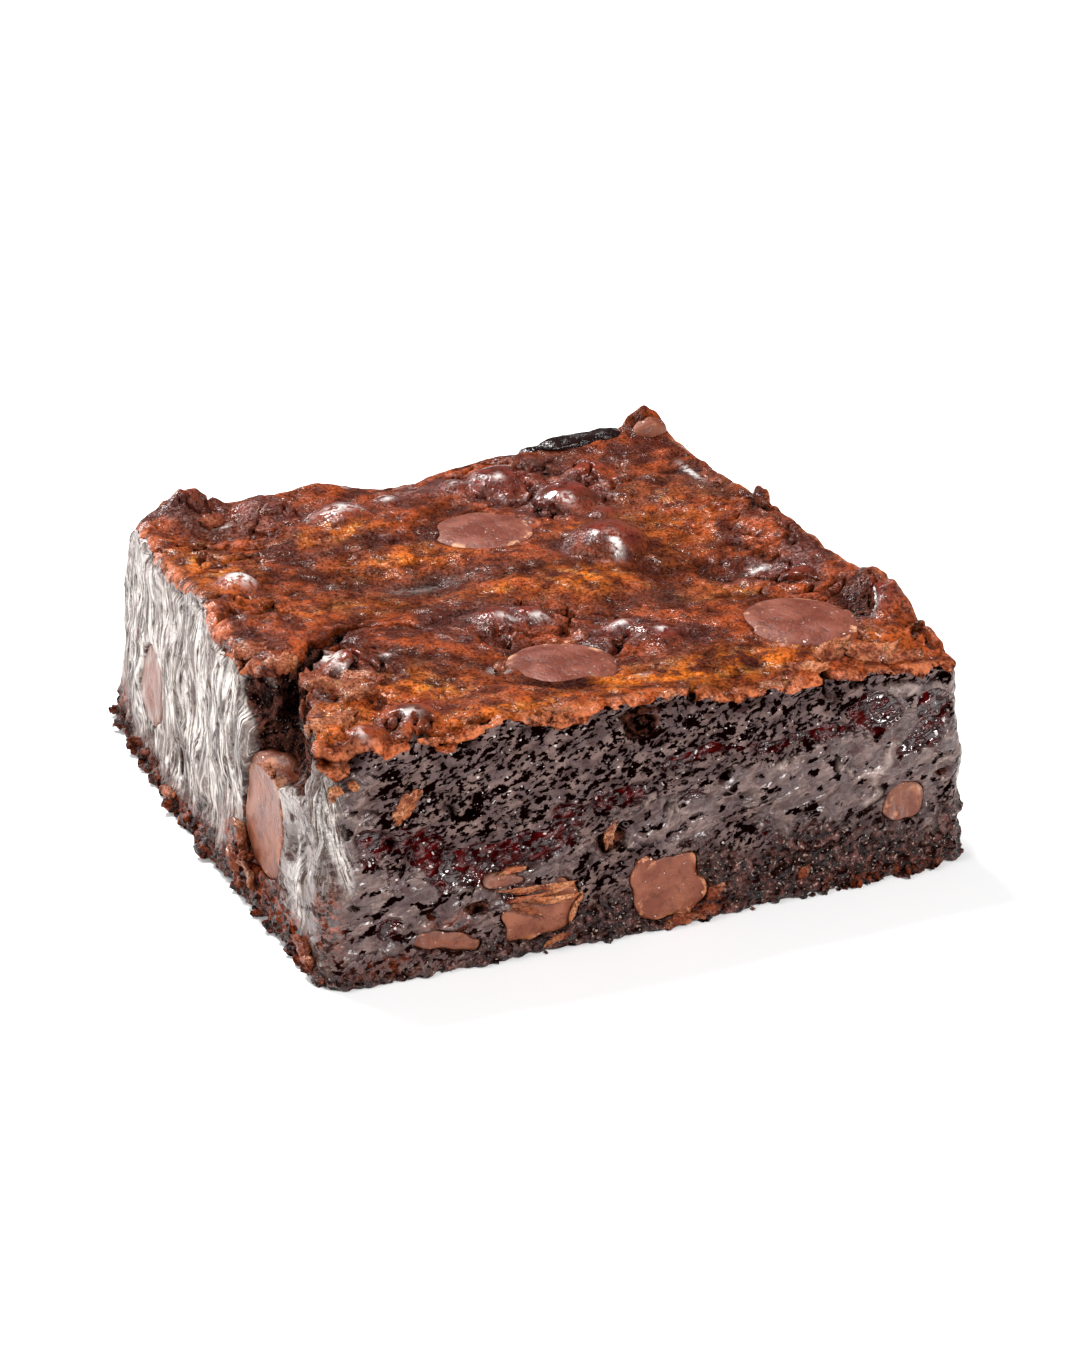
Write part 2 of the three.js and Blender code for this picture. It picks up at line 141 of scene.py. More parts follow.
def acrossCorners(corners, a, b, k):
    # One number of the four corners, blended across the block. Both a and b run from -1 to 1.
    front = lerp(corners["frontLeft"][k], corners["frontRight"][k], (a + 1) / 2)
    back = lerp(corners["backLeft"][k], corners["backRight"][k], (a + 1) / 2)
    return lerp(front, back, (b + 1) / 2)


def between(points, place):
    # Eases through listed heights along an edge.
    height = np.full(np.shape(place), float(points[0][1]))
    for (start, lowHeight), (end, highHeight) in zip(points, points[1:]):
        height += (highHeight - lowHeight) * ease(start, end, place)
    return height


def rimRise(x, y):
    # How much the crust rises towards its four rims.
    rim = blockForm["rim"]
    rise = blockForm["rimRise"]
    total = shares = 0
    for points, along, inward in (
            (rise["right"], y, rim["frontRight"][0] - x), (rise["left"], y, x - rim["frontLeft"][0]),
            (rise["back"], x, rim["backRight"][1] - y), (rise["front"], x, y - rim["frontLeft"][1])):
        share = np.exp(-(np.maximum(0, inward) / blockForm["rimReach"]) ** 2)
        total = total + share * between(points, along)
        shares = shares + share
    return total / np.maximum(1, shares)


# The crust: mounds over buried chocolate, blisters, pebbles and leathery waves
crustForm = {
    # middle x, y, reach along x and y, height: soft mounds and dips
    "mounds": (
        (32, 34.4, 3.6, 2.6, 1.8), (6.3, -18.4, 3.4, 2.6, 0.9), (-4.8, -10.6, 4.4, 3, 0.8),
        (-26.6, 33.4, 4.2, 3, 1.6), (-18.6, 30.6, 2.6, 2.4, 0.9), (-25.2, -17.6, 3, 2.6, 0.9),
        (-25.6, -23.4, 2.8, 2.2, 0.6), (27.6, -7, 4, 2.4, -0.9), (-8.5, 3.4, 9, 4, -0.8),
        (14, -9.6, 8, 3.4, -0.6), (31.6, 15.6, 3.4, 5, -1), (-16, -31.4, 6, 3, 0.5)),
    # middle x, y, radius, height: tight glossy domes
    "domes": (
        (13.4, 4.8, 5.2, 2.9), (14.6, 19.9, 4.2, 2.3), (9.3, 27.6, 3.5, 2), (20.6, 25.6, 3.2, 1.3),
        (-11.3, 24.5, 3.9, 1.5), (-28.5, 7.8, 2.7, 1.5), (-23.8, -31, 3.4, 1.5), (-29.2, -33, 2.6, 1.1),
        (31.4, -22.9, 3, 1.6), (4.6, 28.8, 2, 0.9), (-4.6, 27.2, 1.8, 0.7), (17.6, 14.4, 1.9, 0.8),
        (5, -16.6, 2.2, 0.9), (8.2, -20.4, 2.4, 0.9), (-6.8, -10.4, 2.2, 0.8), (-2.4, -10.8, 2, 0.8),
        (-24.6, -16.4, 2, 1), (-21, -27.8, 1.8, 0.6), (24.6, -9.2, 2, 0.7), (28.8, -11.6, 2, 0.8)),
    # middle x, y, radius, height: steep ragged crags
    "crags": (
        (32.4, 35.1, 2.9, 1.4), (34.2, 6.8, 1.4, 1.5), (34.4, -19.2, 2.4, 1), (34.8, -24.6, 2.6, 1.1),
        (34.2, -30, 2, 0.9), (-32.4, -31.4, 2, 0.7), (-26.6, -24.4, 2.2, 0.7), (-30.6, -16, 1.9, 0.6),
        (-33, 29.6, 1.8, 0.7), (-27.6, 35, 3, 0.7)),
    # middle x, y, reach along x and y, strength: long leathery folds
    "folded": (
        (-22, 22, 13, 9, 1), (-8, 22, 7, 5, 0.6), (-14, 6, 12, 5, 0.5), (-22, -27, 9, 4, 0.7),
        (16, 30, 10, 5, 0.5), (27, 2, 5, 10, 0.5), (24, -28, 8, 4, 0.6)),
    # middle x, y, reach: places covered in small pebbles
    "pebbly": (
        (-27, -27, 7), (-30, 0, 5), (-28, 20, 5), (-27, -16, 4), (5, -17, 6), (-5, -11, 6),
        (17, 22, 8), (8, 27, 6), (27, -9, 6), (30, -26, 6), (32, 4, 5), (-22, 30, 6)),
}


def crustWaves(x, y):
    # Long leathery waves, in mm.
    return (0.3 * np.sin(x / 5.3 + y / 9.1 + 0.6) + 0.26 * np.sin(y / 4.7 - x / 8.2 + 2.1)
            + 0.2 * np.sin(x / 2.9 + 1.3) * np.sin(y / 3.3 + 0.4))


def blob(x, y, middleX, middleY, reachX, reachY):
    return np.exp(-((x - middleX) / reachX) ** 2 - ((y - middleY) / reachY) ** 2)


def crustHeightPlain(x, y):
    height = acrossCorners(blockForm["rim"], x / 34.6, y / 35.4, 2) + crustWaves(x, y) + rimRise(x, y)
    for middleX, middleY, reachX, reachY, rise in crustForm["mounds"]:
        height = height + rise * blob(x, y, middleX, middleY, reachX, reachY)
    for middleX, middleY, radius, rise in crustForm["domes"]:
        away = np.hypot(x - middleX, (y - middleY) * 1.1) / radius
        height = height + rise * np.maximum(0, 1 - away ** 2) ** 0.8
    for middleX, middleY, radius, rise in crustForm["crags"]:
        around = np.arctan2(y - middleY, x - middleX)
        ragged = 1 + 0.16 * np.sin(3 * around + middleY) + 0.12 * np.sin(7 * around + middleX) + 0.07 * np.sin(
            13 * around)
        away = np.hypot(x - middleX, y - middleY) * ragged / radius
        lumps = 1 + 0.16 * np.sin(3 * x) * np.sin(2.6 * y)
        height = height + rise * np.maximum(0, 1 - away ** 2) ** 0.4 * lumps
    return height


# Chocolate: baking discs in the crust, and pieces that the knife went through
chocolateForm = {
    "discFlatness": 0.5,
    # middle x, y, half width, half thickness, how far the top stands proud
    "discs": {"disc_back": (2.4, 15.2, 6.7, 1.7, 0.7), "disc_front": (-4.5, -22.8, 6.3, 1.7, 0.65),
              "disc_right": (23.5, -21.8, 6.6, 1.7, 0.75)},
    # face, place along it, height, half sizes along, into and up, turn in degrees, how boxy, how ragged
    "cut": {
        "chip_left_front": ("left", -19.2, 11.2, 5.4, 5, 6.2, 8, 2.6, 0.35),
        "chip_left_back": ("left", 20, 9.8, 4.2, 3.6, 4.6, 12, 2.2, 0.5),
        "chip_front_a": ("front", -12.7, 4.2, 4.3, 3.6, 2.5, -9, 3.4, 1.1),
        "chip_front_b": ("front", 1.3, 4.6, 4, 3.8, 3.5, -14, 3.2, 0.95),
        "chip_front_c": ("front", -22, 3, 3.4, 3, 1.2, 14, 2.6, 0.9),
        "chip_front_d": ("front", 28.8, 8.4, 2.1, 2.4, 1.9, 0, 2.2, 0.6),
        "chip_front_e": ("front", -16.2, 8.4, 2.5, 2.2, 0.9, 4, 2.4, 0.7),
        "chip_right_a": ("right", -12, 8.2, 4.6, 3.8, 2.6, -8, 3, 0.8),
        "chip_right_b": ("right", 17, 12.4, 3.4, 3.2, 3, 20, 2.4, 0.6),
        "chip_back_a": ("back", -15, 6.2, 4.4, 3.6, 2.8, 10, 3, 0.8),
        "chip_back_b": ("back", 13, 13.4, 3.2, 3, 2.4, -18, 2.4, 0.6)},
    "peak": {"at": (32.1, 33), "half": (2.4, 1.7, 2), "proud": 0.1, "turn": 12},
    "veil": {"chip_left_back": 1, "chip_front_d": 0.6, "chip_front_e": 0.5, "chip_front_c": 0.4,
             "chip_left_front": 0.1},  # crumb drawn over
    "inset": 0.1,
    "gap": 0.1,
}


def plainHeight(x, y):
    return float(crustHeightPlain(np.array([x]), np.array([y]))[0])


print("sculpting the crust")
top = (topX, topY)


def spots(x, y, places):
    # Soft patches, each with a middle, a reach both ways and a strength, from 0 to 1.
    return np.clip(sum(strength * blob(x, y, mx, my, rx, ry) for mx, my, rx, ry, strength in places), 0, 1)


def warped(values, u, v, shiftU, shiftV, uAxis, vAxis):
    # Reads a flat map at shifted places, so that its pattern wanders.
    return mapAt(values, u + shiftU, v + shiftV, uAxis, vAxis)


def discAway(x, y):
    # Distance from the rim of the nearest baking disc.
    return np.min([np.hypot(x - disc[0], y - disc[1]) - disc[2] for disc in chocolateForm["discs"].values()],
                  axis=0)


pebbly = np.clip(sum(blob(*top, x, y, reach, reach) for x, y, reach in crustForm["pebbly"]), 0, 1)
warp = [1.1 * seededNoise(seed, (xs, ys), (4, 4)) for seed in (11, 12)]
warpedTop = (topX + warp[0], topY + warp[1])
pebbleNear, pebbleName = cells(13, *warpedTop, 1.9)
pebbles = np.maximum(0, 1 - (pebbleNear / 0.62) ** 2) * (0.3 + 0.7 * pebbleName)
gritNear, gritName = cells(14, *warpedTop, 0.8)
grit = np.maximum(0, 1 - (gritNear / 0.7) ** 2) * gritName
folds = warped(seededNoise(15, (xs, ys), (6, 1.5)), topX, topY, *warp, xs, ys)
fold = ease(0.62, 1, 1 - np.abs(folds)) * spots(*top, crustForm["folded"])
creases = warped(seededNoise(19, (xs, ys), (2.2, 1.4)), topX, topY, *warp, xs, ys)
crease = ease(0.9, 1, 1 - np.abs(creases)) * ease(-0.3, 0.4, seededNoise(18, (xs, ys), (9, 7)))
domed = np.clip(sum(1.3 * blob(*top, x, y, radius * 0.75, radius * 0.7)
                    for x, y, radius, _ in crustForm["domes"]), 0, 1)
plain = ease(0.2, 1.6, discAway(*top)) * (1 - 0.85 * domed)  # the crust lies flat against the discs
topRelief = plain * (
    0.15 * seededNoise(16, (xs, ys), (2.4, 1.8))
    + 0.09 * seededNoise(17, (xs, ys), (0.9, 0.8))
    + 0.06 * seededNoise(20, (xs, ys), (0.5, 0.5))
    + 0.55 * pebbles * pebbly
    + 0.16 * grit * (0.3 + 0.7 * pebbly)
    + 0.35 * fold - 0.2 * crease)
rimRing = np.exp(-((discAway(*top) - 0.25) / 0.35) ** 2)  # and curls up thinly round them
topRelief = topRelief + rimRing * (0.16 + 0.22 * seededNoise(21, (xs, ys), (1.3, 1.3)))
topHeight = crustHeightPlain(*top) + topRelief
for middleX, middleY, wide, thick, proud in chocolateForm["discs"].values():
    level = plainHeight(middleX, middleY) + proud - 0.3
    away = np.hypot(topX - middleX, topY - middleY) - wide
    ring = rimRing * (0.12 + 0.2 * seededNoise(22, (xs, ys), (1.1, 1.1)))
    topHeight = lerp(np.minimum(topHeight, level + ring), topHeight, ease(0.4, 2.2, away))
topRelief = topHeight - crustHeightPlain(*top)

# The cut faces, as maps of how far they stand out: front and back along x, left and right along y
faceForm = {
    "grainSize": 1.25,     # mm between the coarse grains along the foot
    "front": {
        # place along, height, reaches, strength: where the blade smeared the crumb smooth
        "smear": ((-24, 7, 9, 4, 1), (-31.5, 14, 3, 9, 0.9), (-2, 11.6, 8, 2.8, 0.75), (12, 14, 8, 2.2, 0.85),
                  (22, 12.6, 7, 3.4, 1), (31, 13, 4, 6, 1), (28, 20.4, 6, 2, 0.9), (17, 9.6, 6, 3, 0.7),
                  (-12, 8, 5, 2, 0.6), (8, 20.6, 7, 1.2, 0.35)),
        # where melted chocolate soaked in and pulled apart
        "melt": ((-30.6, 14.6, 1.8, 2.6, 0.8), (-24, 13, 4, 2, 1), (-18.6, 11, 3.6, 2.4, 1.1),
                 (-12.4, 11.6, 2.6, 2, 1), (-9.6, 14.8, 2, 2, 0.8), (-4, 14.9, 2.6, 1, 1),
                 (2, 16.8, 3, 0.9, 0.9), (7, 18, 3, 0.9, 0.8), (13, 18, 3, 1, 0.9), (19, 17.4, 3, 1.3, 0.9),
                 (25, 19, 3.2, 1.8, 1.6), (32.4, 18, 1.7, 3, 1.5), (30, 14, 2, 1.4, 0.7),
                 (-16, 6.8, 2, 1.6, 0.7), (-28, 6.4, 2, 2, 0.6), (13, 8.6, 2.4, 2.4, 0.6),
                 (4, 13.2, 2, 1.2, 0.6)),
        # fine porous crumb, and how high the coarse crumb of the foot reaches
        "porous": ((-22, 19.6, 12, 3, 1), (-6, 19.6, 12, 3.4, 1), (8, 20.6, 10, 2.4, 1),
                   (18, 20.4, 5, 1.6, 0.7), (-2, 8, 8, 2, 0.5), (6, 14, 6, 1.6, 0.6)),
        "coarseTop": ((-36, 1.5), (-26, 2), (-16, 2.4), (-8, 4.6), (4, 7), (14, 6.4), (24, 7), (36, 6.4)),
        "strands": ((-34.4, 19, 0.9, 4, 0.95), (-33.4, 13.6, 0.6, 3.4, 0.7), (-35.4, 9, 0.6, 4, 0.6)),
        "lean": ((-36, 0.2), (-32, 0.5), (-26, 0.8), (36, 0.8)),
    },
    "left": {
        "smear": ((-30.6, 8, 2.6, 8, 1), (-28.4, 16, 2.4, 5, 0.7), (10, 12, 40, 20, 1)),
        "melt": ((8, 5.4, 1.2, 2, 1.2), (-27.6, 11.4, 1, 1.6, 1.1), (-10.8, 4.4, 2, 1.6, 0.9),
                 (-30.6, 12.4, 0.8, 2.6, 0.8), (28, 8, 1, 3, 0.6), (26, 4.4, 3, 1.2, 0.6), (2, 2.8, 3, 1, 0.8)),
        "porous": ((-26.5, 17.6, 2.6, 3, 1), (-25.6, 13, 1, 3, 0.8)),
        "coarseTop": ((-36, 4), (-30, 3), (-24, 5), (-14, 7.4), (-8, 4.6), (4, 2), (18, 1.6), (30, 3), (36, 4)),
        "strands": ((12, 13, 30, 12, 1.6), (-8, 13, 9, 8, 1.2), (-30, 6.6, 1.3, 4, 0.9),
                    (-34.6, 18, 1, 4.6, 1)),
        "lean": ((-36, 0.1), (-29, 0.3), (-24, 0), (-14, -0.16), (36, -0.12)),
    },
    "back": {
        "smear": ((-20, 9, 9, 5, 1), (4, 15, 10, 3, 0.8), (24, 10, 9, 5, 0.9), (-30, 18, 5, 4, 0.7)),
        "melt": ((-24, 15, 5, 1.6, 1), (-10, 12, 4, 1.4, 1), (6, 10.6, 4, 1.4, 0.9), (20, 15, 4, 1.8, 1),
                 (31, 13, 2, 3, 1)),
        "porous": ((-14, 20, 14, 2.6, 1), (14, 20.6, 14, 2.6, 1), (0, 6, 9, 2, 0.6)),
        "coarseTop": ((-36, 4), (-16, 6), (4, 5), (22, 7), (36, 4)),
        "strands": ((-33, 14, 3, 9, 0.8), (33, 12, 3, 8, 0.5)),
        "lean": ((-36, 0.2), (36, -0.2)),
    },
    "right": {
        "smear": ((-30, 12, 5, 8, 1), (-6, 15, 9, 4, 0.9), (22, 9, 9, 5, 1), (30, 18, 5, 4, 0.7)),
        "melt": ((-30, 18, 2, 3, 1), (-18, 15, 4, 1.6, 1), (-2, 12, 5, 1.4, 1), (14, 16, 4, 1.6, 0.9),
                 (29, 12, 3, 2, 0.9)),
        "porous": ((-10, 21, 12, 2.6, 1), (18, 21.6, 12, 2.4, 1), (2, 7, 8, 2, 0.6)),
        "coarseTop": ((-36, 6), (-16, 5), (4, 7), (22, 4), (36, 5)),
        "strands": ((-35, 13, 2.4, 9, 0.8), (6, 14, 6, 4, 0.4)),
        "lean": ((-36, 0.1), (36, -0.1)),
    },
}


def cutFace(seed, u, v, axes, zones, crustEdge):
    # Relief of one cut face, in mm outwards, and the maps that colour it.
    def noise(number, size):
        return seededNoise(seed + number, axes, size)

    def inZone(name):
        return spots(u + 1.1 * noise(30, (3, 3)), v + 0.8 * noise(31, (3, 3)), zones[name])

    shift = 0.7 * noise(1, (2.4, 2.4)), 0.7 * noise(2, (2.4, 2.4))
    under = crustEdge - v
    coarse = ease(1.6, -1.6, v - np.interp(u, *zip(*zones["coarseTop"])) + 2 * noise(5, (4, 3))
                  + 0.8 * noise(25, (1.2, 1)))
    strands = np.clip(inZone("strands") * 1.1, 0, 1) * (1 - 0.9 * coarse) * ease(0.4, 2, under)
    film = ease(0.28, 0.6, inZone("smear") + 0.2 * noise(3, (4, 2)) + 0.16 * noise(6, (1.2, 0.9))
                - 0.3 * inZone("porous")) * (1 - coarse)
    melt = inZone("melt") + 0.28 * noise(4, (2.6, 1.6)) + 0.14 * noise(10, (0.9, 0.7))
    melt = ease(0.45, 0.56, melt) * (1 - 0.7 * coarse) * (1 - 0.7 * strands) * ease(0.8, 2, under)
    # ragged pits, wider than high, thick in the porous crumb and few where the knife dragged a film over it
    ragged = warped(noise(7, (0.85, 0.6)) + 0.8 * noise(8, (0.5, 0.42)), u, v, *shift, *axes)
    calm = ease(0.5, 1.6, under) * (1 - 0.9 * strands)
    pits = ease(lerp(0.3, 0.95, film), lerp(0.6, 1.15, film), ragged) * calm * (1 - 0.5 * coarse)
    deepPits = noise(9, (1.9, 1.3)) + 0.5 * noise(20, (0.7, 0.6))
    holes = ease(lerp(1.3, 1.5, film), lerp(1.45, 1.6, film), deepPits) * calm * (1 - coarse)
    grainNear, grainName = cells(seed + 11, u + shift[0], v + shift[1], faceForm["grainSize"])
    grains = np.maximum(0, 1 - (grainNear / 0.64) ** 2) * (0.25 + 0.75 * grainName)
    # thin raised lines where the film curled
    drag = warped(noise(13, (4.2, 2.2)) + 0.3 * noise(14, (1.3, 1)), u, v, *shift, *axes)
    ridges = ease(0.88, 0.98, 1 - np.abs(drag)) * film * (1 - melt) * ease(-0.3, 0.3, noise(12, (3, 3)))
    # the strands lean as they come down
    flow = u + v * np.interp(u, *zip(*zones["lean"])) + 0.9 * noise(15, (5, 5)) + 0.7 * noise(16, (2.2, 2.6))
    thread = mapAt(noise(17, (1.7, 6)), flow, v, *axes)
    finer = mapAt(noise(18, (0.8, 4)), flow, v, *axes)
    threads = np.clip(1 - np.abs(thread) * 1.6, 0, 1) * 0.6 + np.clip(1 - np.abs(finer) * 1.6, 0, 1) * 0.5
    # a groove just under the crust's lip, carved in and painted dark as its shadow line
    groove = np.exp(-((under - 1.5 - 0.6 * noise(19, (2, 2))) / 0.45) ** 2)
    groove = groove * ease(-0.1, 0.5, noise(24, (2.4, 4)))
    relief = (
        0.36 * noise(21, (4.6, 3.6)) + 0.16 * noise(22, (1.9, 1.4)) * (1 - 0.5 * strands)
        + 0.08 * (1 - film) * noise(23, (0.6, 0.6))
        - 0.2 * pits - 0.75 * holes - 0.6 * melt + 0.3 * melt * grains
        + 0.85 * grains * coarse + 0.2 * ridges + 0.3 * threads * strands - 0.7 * groove)
    # the dark map is painted shade: near black down in the pits, the holes and the groove under the lip
    return {"relief": relief, "film": film, "melt": melt,
            "dark": np.clip(0.3 * pits + holes + 0.6 * groove, 0, 1),
            "coarse": coarse, "strand": strands, "flow": flow, "ridge": ridges}


print("sculpting the cut faces")
# corners at its two ends, which coordinate it stands across, the way it looks, half its length
faceSides = {
    "front": ("frontLeft", "frontRight", 1, -1, 34.6), "back": ("backLeft", "backRight", 1, 1, 34.6),
    "left": ("frontLeft", "backLeft", 0, -1, 35.4), "right": ("frontRight", "backRight", 0, 1, 35.4)}
faces = {}
# seed of its noise, and where the height of its rim is read
for name, seed, rimAt in (("front", 100, -34.4), ("back", 200, 34), ("left", 300, -33.4), ("right", 400, 34)):
    if faceSides[name][2]:
        rimHeight = mapAt(topHeight, frontX, 0 * frontX + rimAt, xs, ys)
        faces[name] = cutFace(seed, frontX, frontZ, (xs, zs), faceForm[name], rimHeight)
    else:
        rimHeight = mapAt(topHeight, 0 * leftY + rimAt, leftY, xs, ys)
        faces[name] = cutFace(seed, leftY, leftZ, (ys, zs), faceForm[name], rimHeight)


def cutPlane(face, along, height):
    # Where a cut face stands before its relief.
    start, end, k, out, half = faceSides[face]
    foot, rim = blockForm["foot"], blockForm["rim"]
    rise, t = np.clip(height / 25, 0, 1.1), (along / half + 1) / 2
    plain = lerp(lerp(foot[start][k], foot[end][k], t), lerp(rim[start][k], rim[end][k], t), rise)
    return plain + out * blockForm["footBulge"] * (1 - rise) * np.clip(1 - (along / half) ** 2, 0, 1)


def planeAt(face, along, height):
    return float(cutPlane(face, np.array([float(along)]), np.array([float(height)]))[0])


planes = {face: cutPlane(face, *((frontX, frontZ) if side[2] else (leftY, leftZ)))
          for face, side in faceSides.items()}
print("filling the block")
outFront = (planes["front"] - faces["front"]["relief"])[:, None, :] - gridY
outBack = gridY - (planes["back"] + faces["back"]["relief"])[:, None, :]
outLeft = (planes["left"] - faces["left"]["relief"])[None, :, :] - gridX
outRight = gridX - (planes["right"] + faces["right"]["relief"])[None, :, :]
plan = roundMax(np.maximum(outLeft, outRight), np.maximum(outFront, outBack), blockForm["cornerRound"])
del outFront, outBack, outLeft, outRight
body = roundMax(plan, (gridZ - topHeight[:, :, None]) * 0.96, blockForm["rimRound"])
body = roundMax(body, -gridZ + 0 * body, blockForm["footRound"]).astype(np.float32)
print("field", body.shape)


def ellipsoid(x, y, z, half, boxy=2):
    # Distance, near enough, to a ball stretched to these half sizes, or to a softer box above two.
    parts = [np.abs(c / h) for c, h in zip((x, y, z), half)]
    reach = sum(part ** boxy for part in parts) ** (1 / boxy)
    slope = np.sqrt(sum((part ** (boxy - 1) / h) ** 2 for part, h in zip(parts, half)))
    return (reach - 1) / np.maximum(slope * np.maximum(reach, 0.01) ** (1 - boxy), 0.02)


def lumpy(seed, x, y, z, size):
    # Noise with lumps of one size in mm, on a grid given by its three axes.
    return seededNoise(seed, [np.ravel(c) for c in (x, y, z)], (size,) * 3)


def turned(a, b, degrees):
    # Both coordinates as seen from axes that are turned by this angle.
    angle = math.radians(degrees)
    return a * math.cos(angle) + b * math.sin(angle), b * math.cos(angle) - a * math.sin(angle)


def discField(x, y, z, disc):
    # A round flat disc with soft edges, a little uneven in outline.
    middleX, middleY, wide, thick, proud = disc
    up = z - (plainHeight(middleX, middleY) + proud - thick)
    around = np.arctan2(y - middleY, x - middleX)
    uneven = 1 + 0.025 * np.sin(2 * around + wide * 9) + 0.015 * np.sin(5 * around + wide * 5)
    flat = 1 / chocolateForm["discFlatness"]
    across = np.hypot(x - middleX, y - middleY) / (wide * uneven)
    reach = (across ** 2 + np.abs(up / thick) ** (2 * flat)) ** 0.5
    return (reach - 1) * thick * lerp(1, 1.8, np.clip(across, 0, 1))


def chipField(x, y, z, chip):
    # The piece with its ragged outline, before the cut.
    ragged = chip[8]
    return plainChip(x, y, z, chip) + ragged * (0.8 * lumpy(700, x, y, z, 2.1) + 0.6 * lumpy(701, x, y, z, 0.9))


def plainChip(x, y, z, chip):
    # The whole piece before it is made ragged.
    face, along, height, halfAlong, halfIn, halfUp, turn, boxy = chip[:8]
    side, out = faceSides[face][2:4]
    onPlane = planeAt(face, along, height)
    middle = onPlane - out * halfIn * 0.25
    if side == 0:
        u, w = turned(y - along, z - height, turn)
        return ellipsoid(x - middle, u, w, (halfIn, halfAlong, halfUp), boxy)
    u, w = turned(x - along, z - height, -turn)
    return ellipsoid(u, y - middle, w, (halfAlong, halfIn, halfUp), boxy)


def peakField(x, y, z):
    peak = chocolateForm["peak"]
    px, py = peak["at"]
    u, w = turned(x - px, y - py, peak["turn"])
    return ellipsoid(u, w, z - (plainHeight(px, py) + peak["proud"] - peak["half"][2]), peak["half"])


# Cracks and hollows
breakForm = {
    # x, y, width, depth
    "crack": ((-37, -23, 8.4, 7), (-34, -21, 6.6, 7), (-31.4, -17.4, 2.6, 6), (-28.6, -14, 2.8, 5),
              (-25.3, -10.2, 2.4, 4), (-22.2, -7.4, 2.1, 3.4), (-19.3, -6, 1.4, 2.6), (-16, -7.2, 1, 1.8),
              (-13.6, -9.8, 0.5, 1.1)),
    "sideCracks": (
        ((-27, -21.6, 0.4, 1.5), (-28.6, -21.4, 1.9, 3), (-30.6, -20.4, 2.2, 4), (-33.4, -19.6, 2, 5)),
        ((-34.6, -11.6, 1.6, 4), (-34.2, -17, 4, 6), (-34.6, -21, 5.4, 7), (-36, -27, 5.6, 6.6),
         (-37, -33, 5.6, 4)),
        ((-27.6, -32.2, 0.3, 1), (-26.4, -34.2, 0.9, 1.4), (-22, -34.7, 0.8, 1.4), (-18.2, -34.4, 0.9, 1.3),
         (-16.6, -33.2, 0.3, 0.8)),
        ((-31.2, -27.8, 0.3, 0.8), (-28, -29.6, 0.9, 1.5), (-24, -28.4, 0.7, 1.2), (-21, -26.6, 0.2, 0.6)),
        ((2, -35.8, 0.9, 1.4), (5, -34.6, 0.6, 1), (8.4, -34.8, 0.2, 0.6)),
        ((-31.6, 24, 0.9, 1.6), (-28.8, 22.8, 0.8, 1.4), (-26.2, 21.8, 0.2, 0.8)),
        ((-31, 12.9, 0.9, 1.5), (-28.6, 11.8, 0.4, 1)),
        ((31.4, -16.6, 0.3, 1.2), (30, -15.8, 0.9, 2), (27, -14.6, 0.4, 1)),
        ((31.8, 7, 0.3, 0.8), (33, 4.6, 0.9, 1.6), (34.6, 3.4, 0.6, 1.4)),
        ((-28.4, -13.8, 1.4, 3), (-26.8, -12.6, 1.6, 3.4), (-25.9, -13.8, 0.5, 1.4)),
        ((17.6, -31.6, 1.1, 2.6), (19.2, -33.2, 1.2, 3), (20.6, -35.6, 1.4, 3.4))),
    # middle and half sizes
    "hollows": (
        ((-36.4, -21.6, 21.6), (4.6, 9.6, 4.4)), ((-36, -28, 21), (3.4, 5, 3.4)),
        ((-35.6, -15, 22), (3, 4.4, 3)), ((-34.8, -20.6, 18.6), (4, 4.8, 2.4)),
        ((-34.6, -10, 25.4), (2.2, 2.1, 2)), ((-1.4, -36.6, 22.3), (2, 2.2, 1.6)),
        ((5.1, -37.3, 21.8), (0.8, 1.2, 0.8)), ((-35.6, 8, 5.4), (1.2, 1, 1.8)),
        ((-5, -37, 10.9), (1.9, 1.5, 1.7)), ((33.4, -36.6, 10.6), (1.6, 1.6, 1)),
        ((-19.6, -37, 6.2), (1.7, 1.2, 0.8)), ((-35.8, -28.4, 13.4), (1.3, 1.3, 2.4))),
}


def pathAway(x, y, path):
    # Distance from each place to a crack's edge, and how deep it is there.
    away = np.full(x.shape, 99.0)
    depth = np.zeros(x.shape)
    for (ax, ay, aw, ad), (bx, by, bw, bd) in zip(path, path[1:]):
        lengthX, lengthY = bx - ax, by - ay
        t = np.clip(((x - ax) * lengthX + (y - ay) * lengthY) / (lengthX ** 2 + lengthY ** 2), 0, 1)
        distance = np.hypot(x - ax - t * lengthX, y - ay - t * lengthY) - lerp(aw, bw, t) / 2
        closer = distance < away
        depth = np.where(closer, lerp(ad, bd, t), depth)
        away = np.where(closer, distance, away)
    return away, depth


def window(lowCorner, highCorner):
    # The part of the block between two corners, as slices.
    return tuple(
        slice(max(0, int((a - axis[0]) / sample)), min(len(axis), int((b - axis[0]) / sample) + 2))
        for a, b, axis in zip(lowCorner, highCorner, (xs, ys, zs)))


def carve(middle, half, field, gap):
    # Takes a shape out of the body, inside its own small window.
    reach = [h + 1.5 for h in half]
    part = window([m - r for m, r in zip(middle, reach)], [m + r for m, r in zip(middle, reach)])
    shape = field(gridX[part[0]], gridY[:, part[1]], gridZ[:, :, part[2]])
    body[part] = np.maximum(body[part], gap - shape)


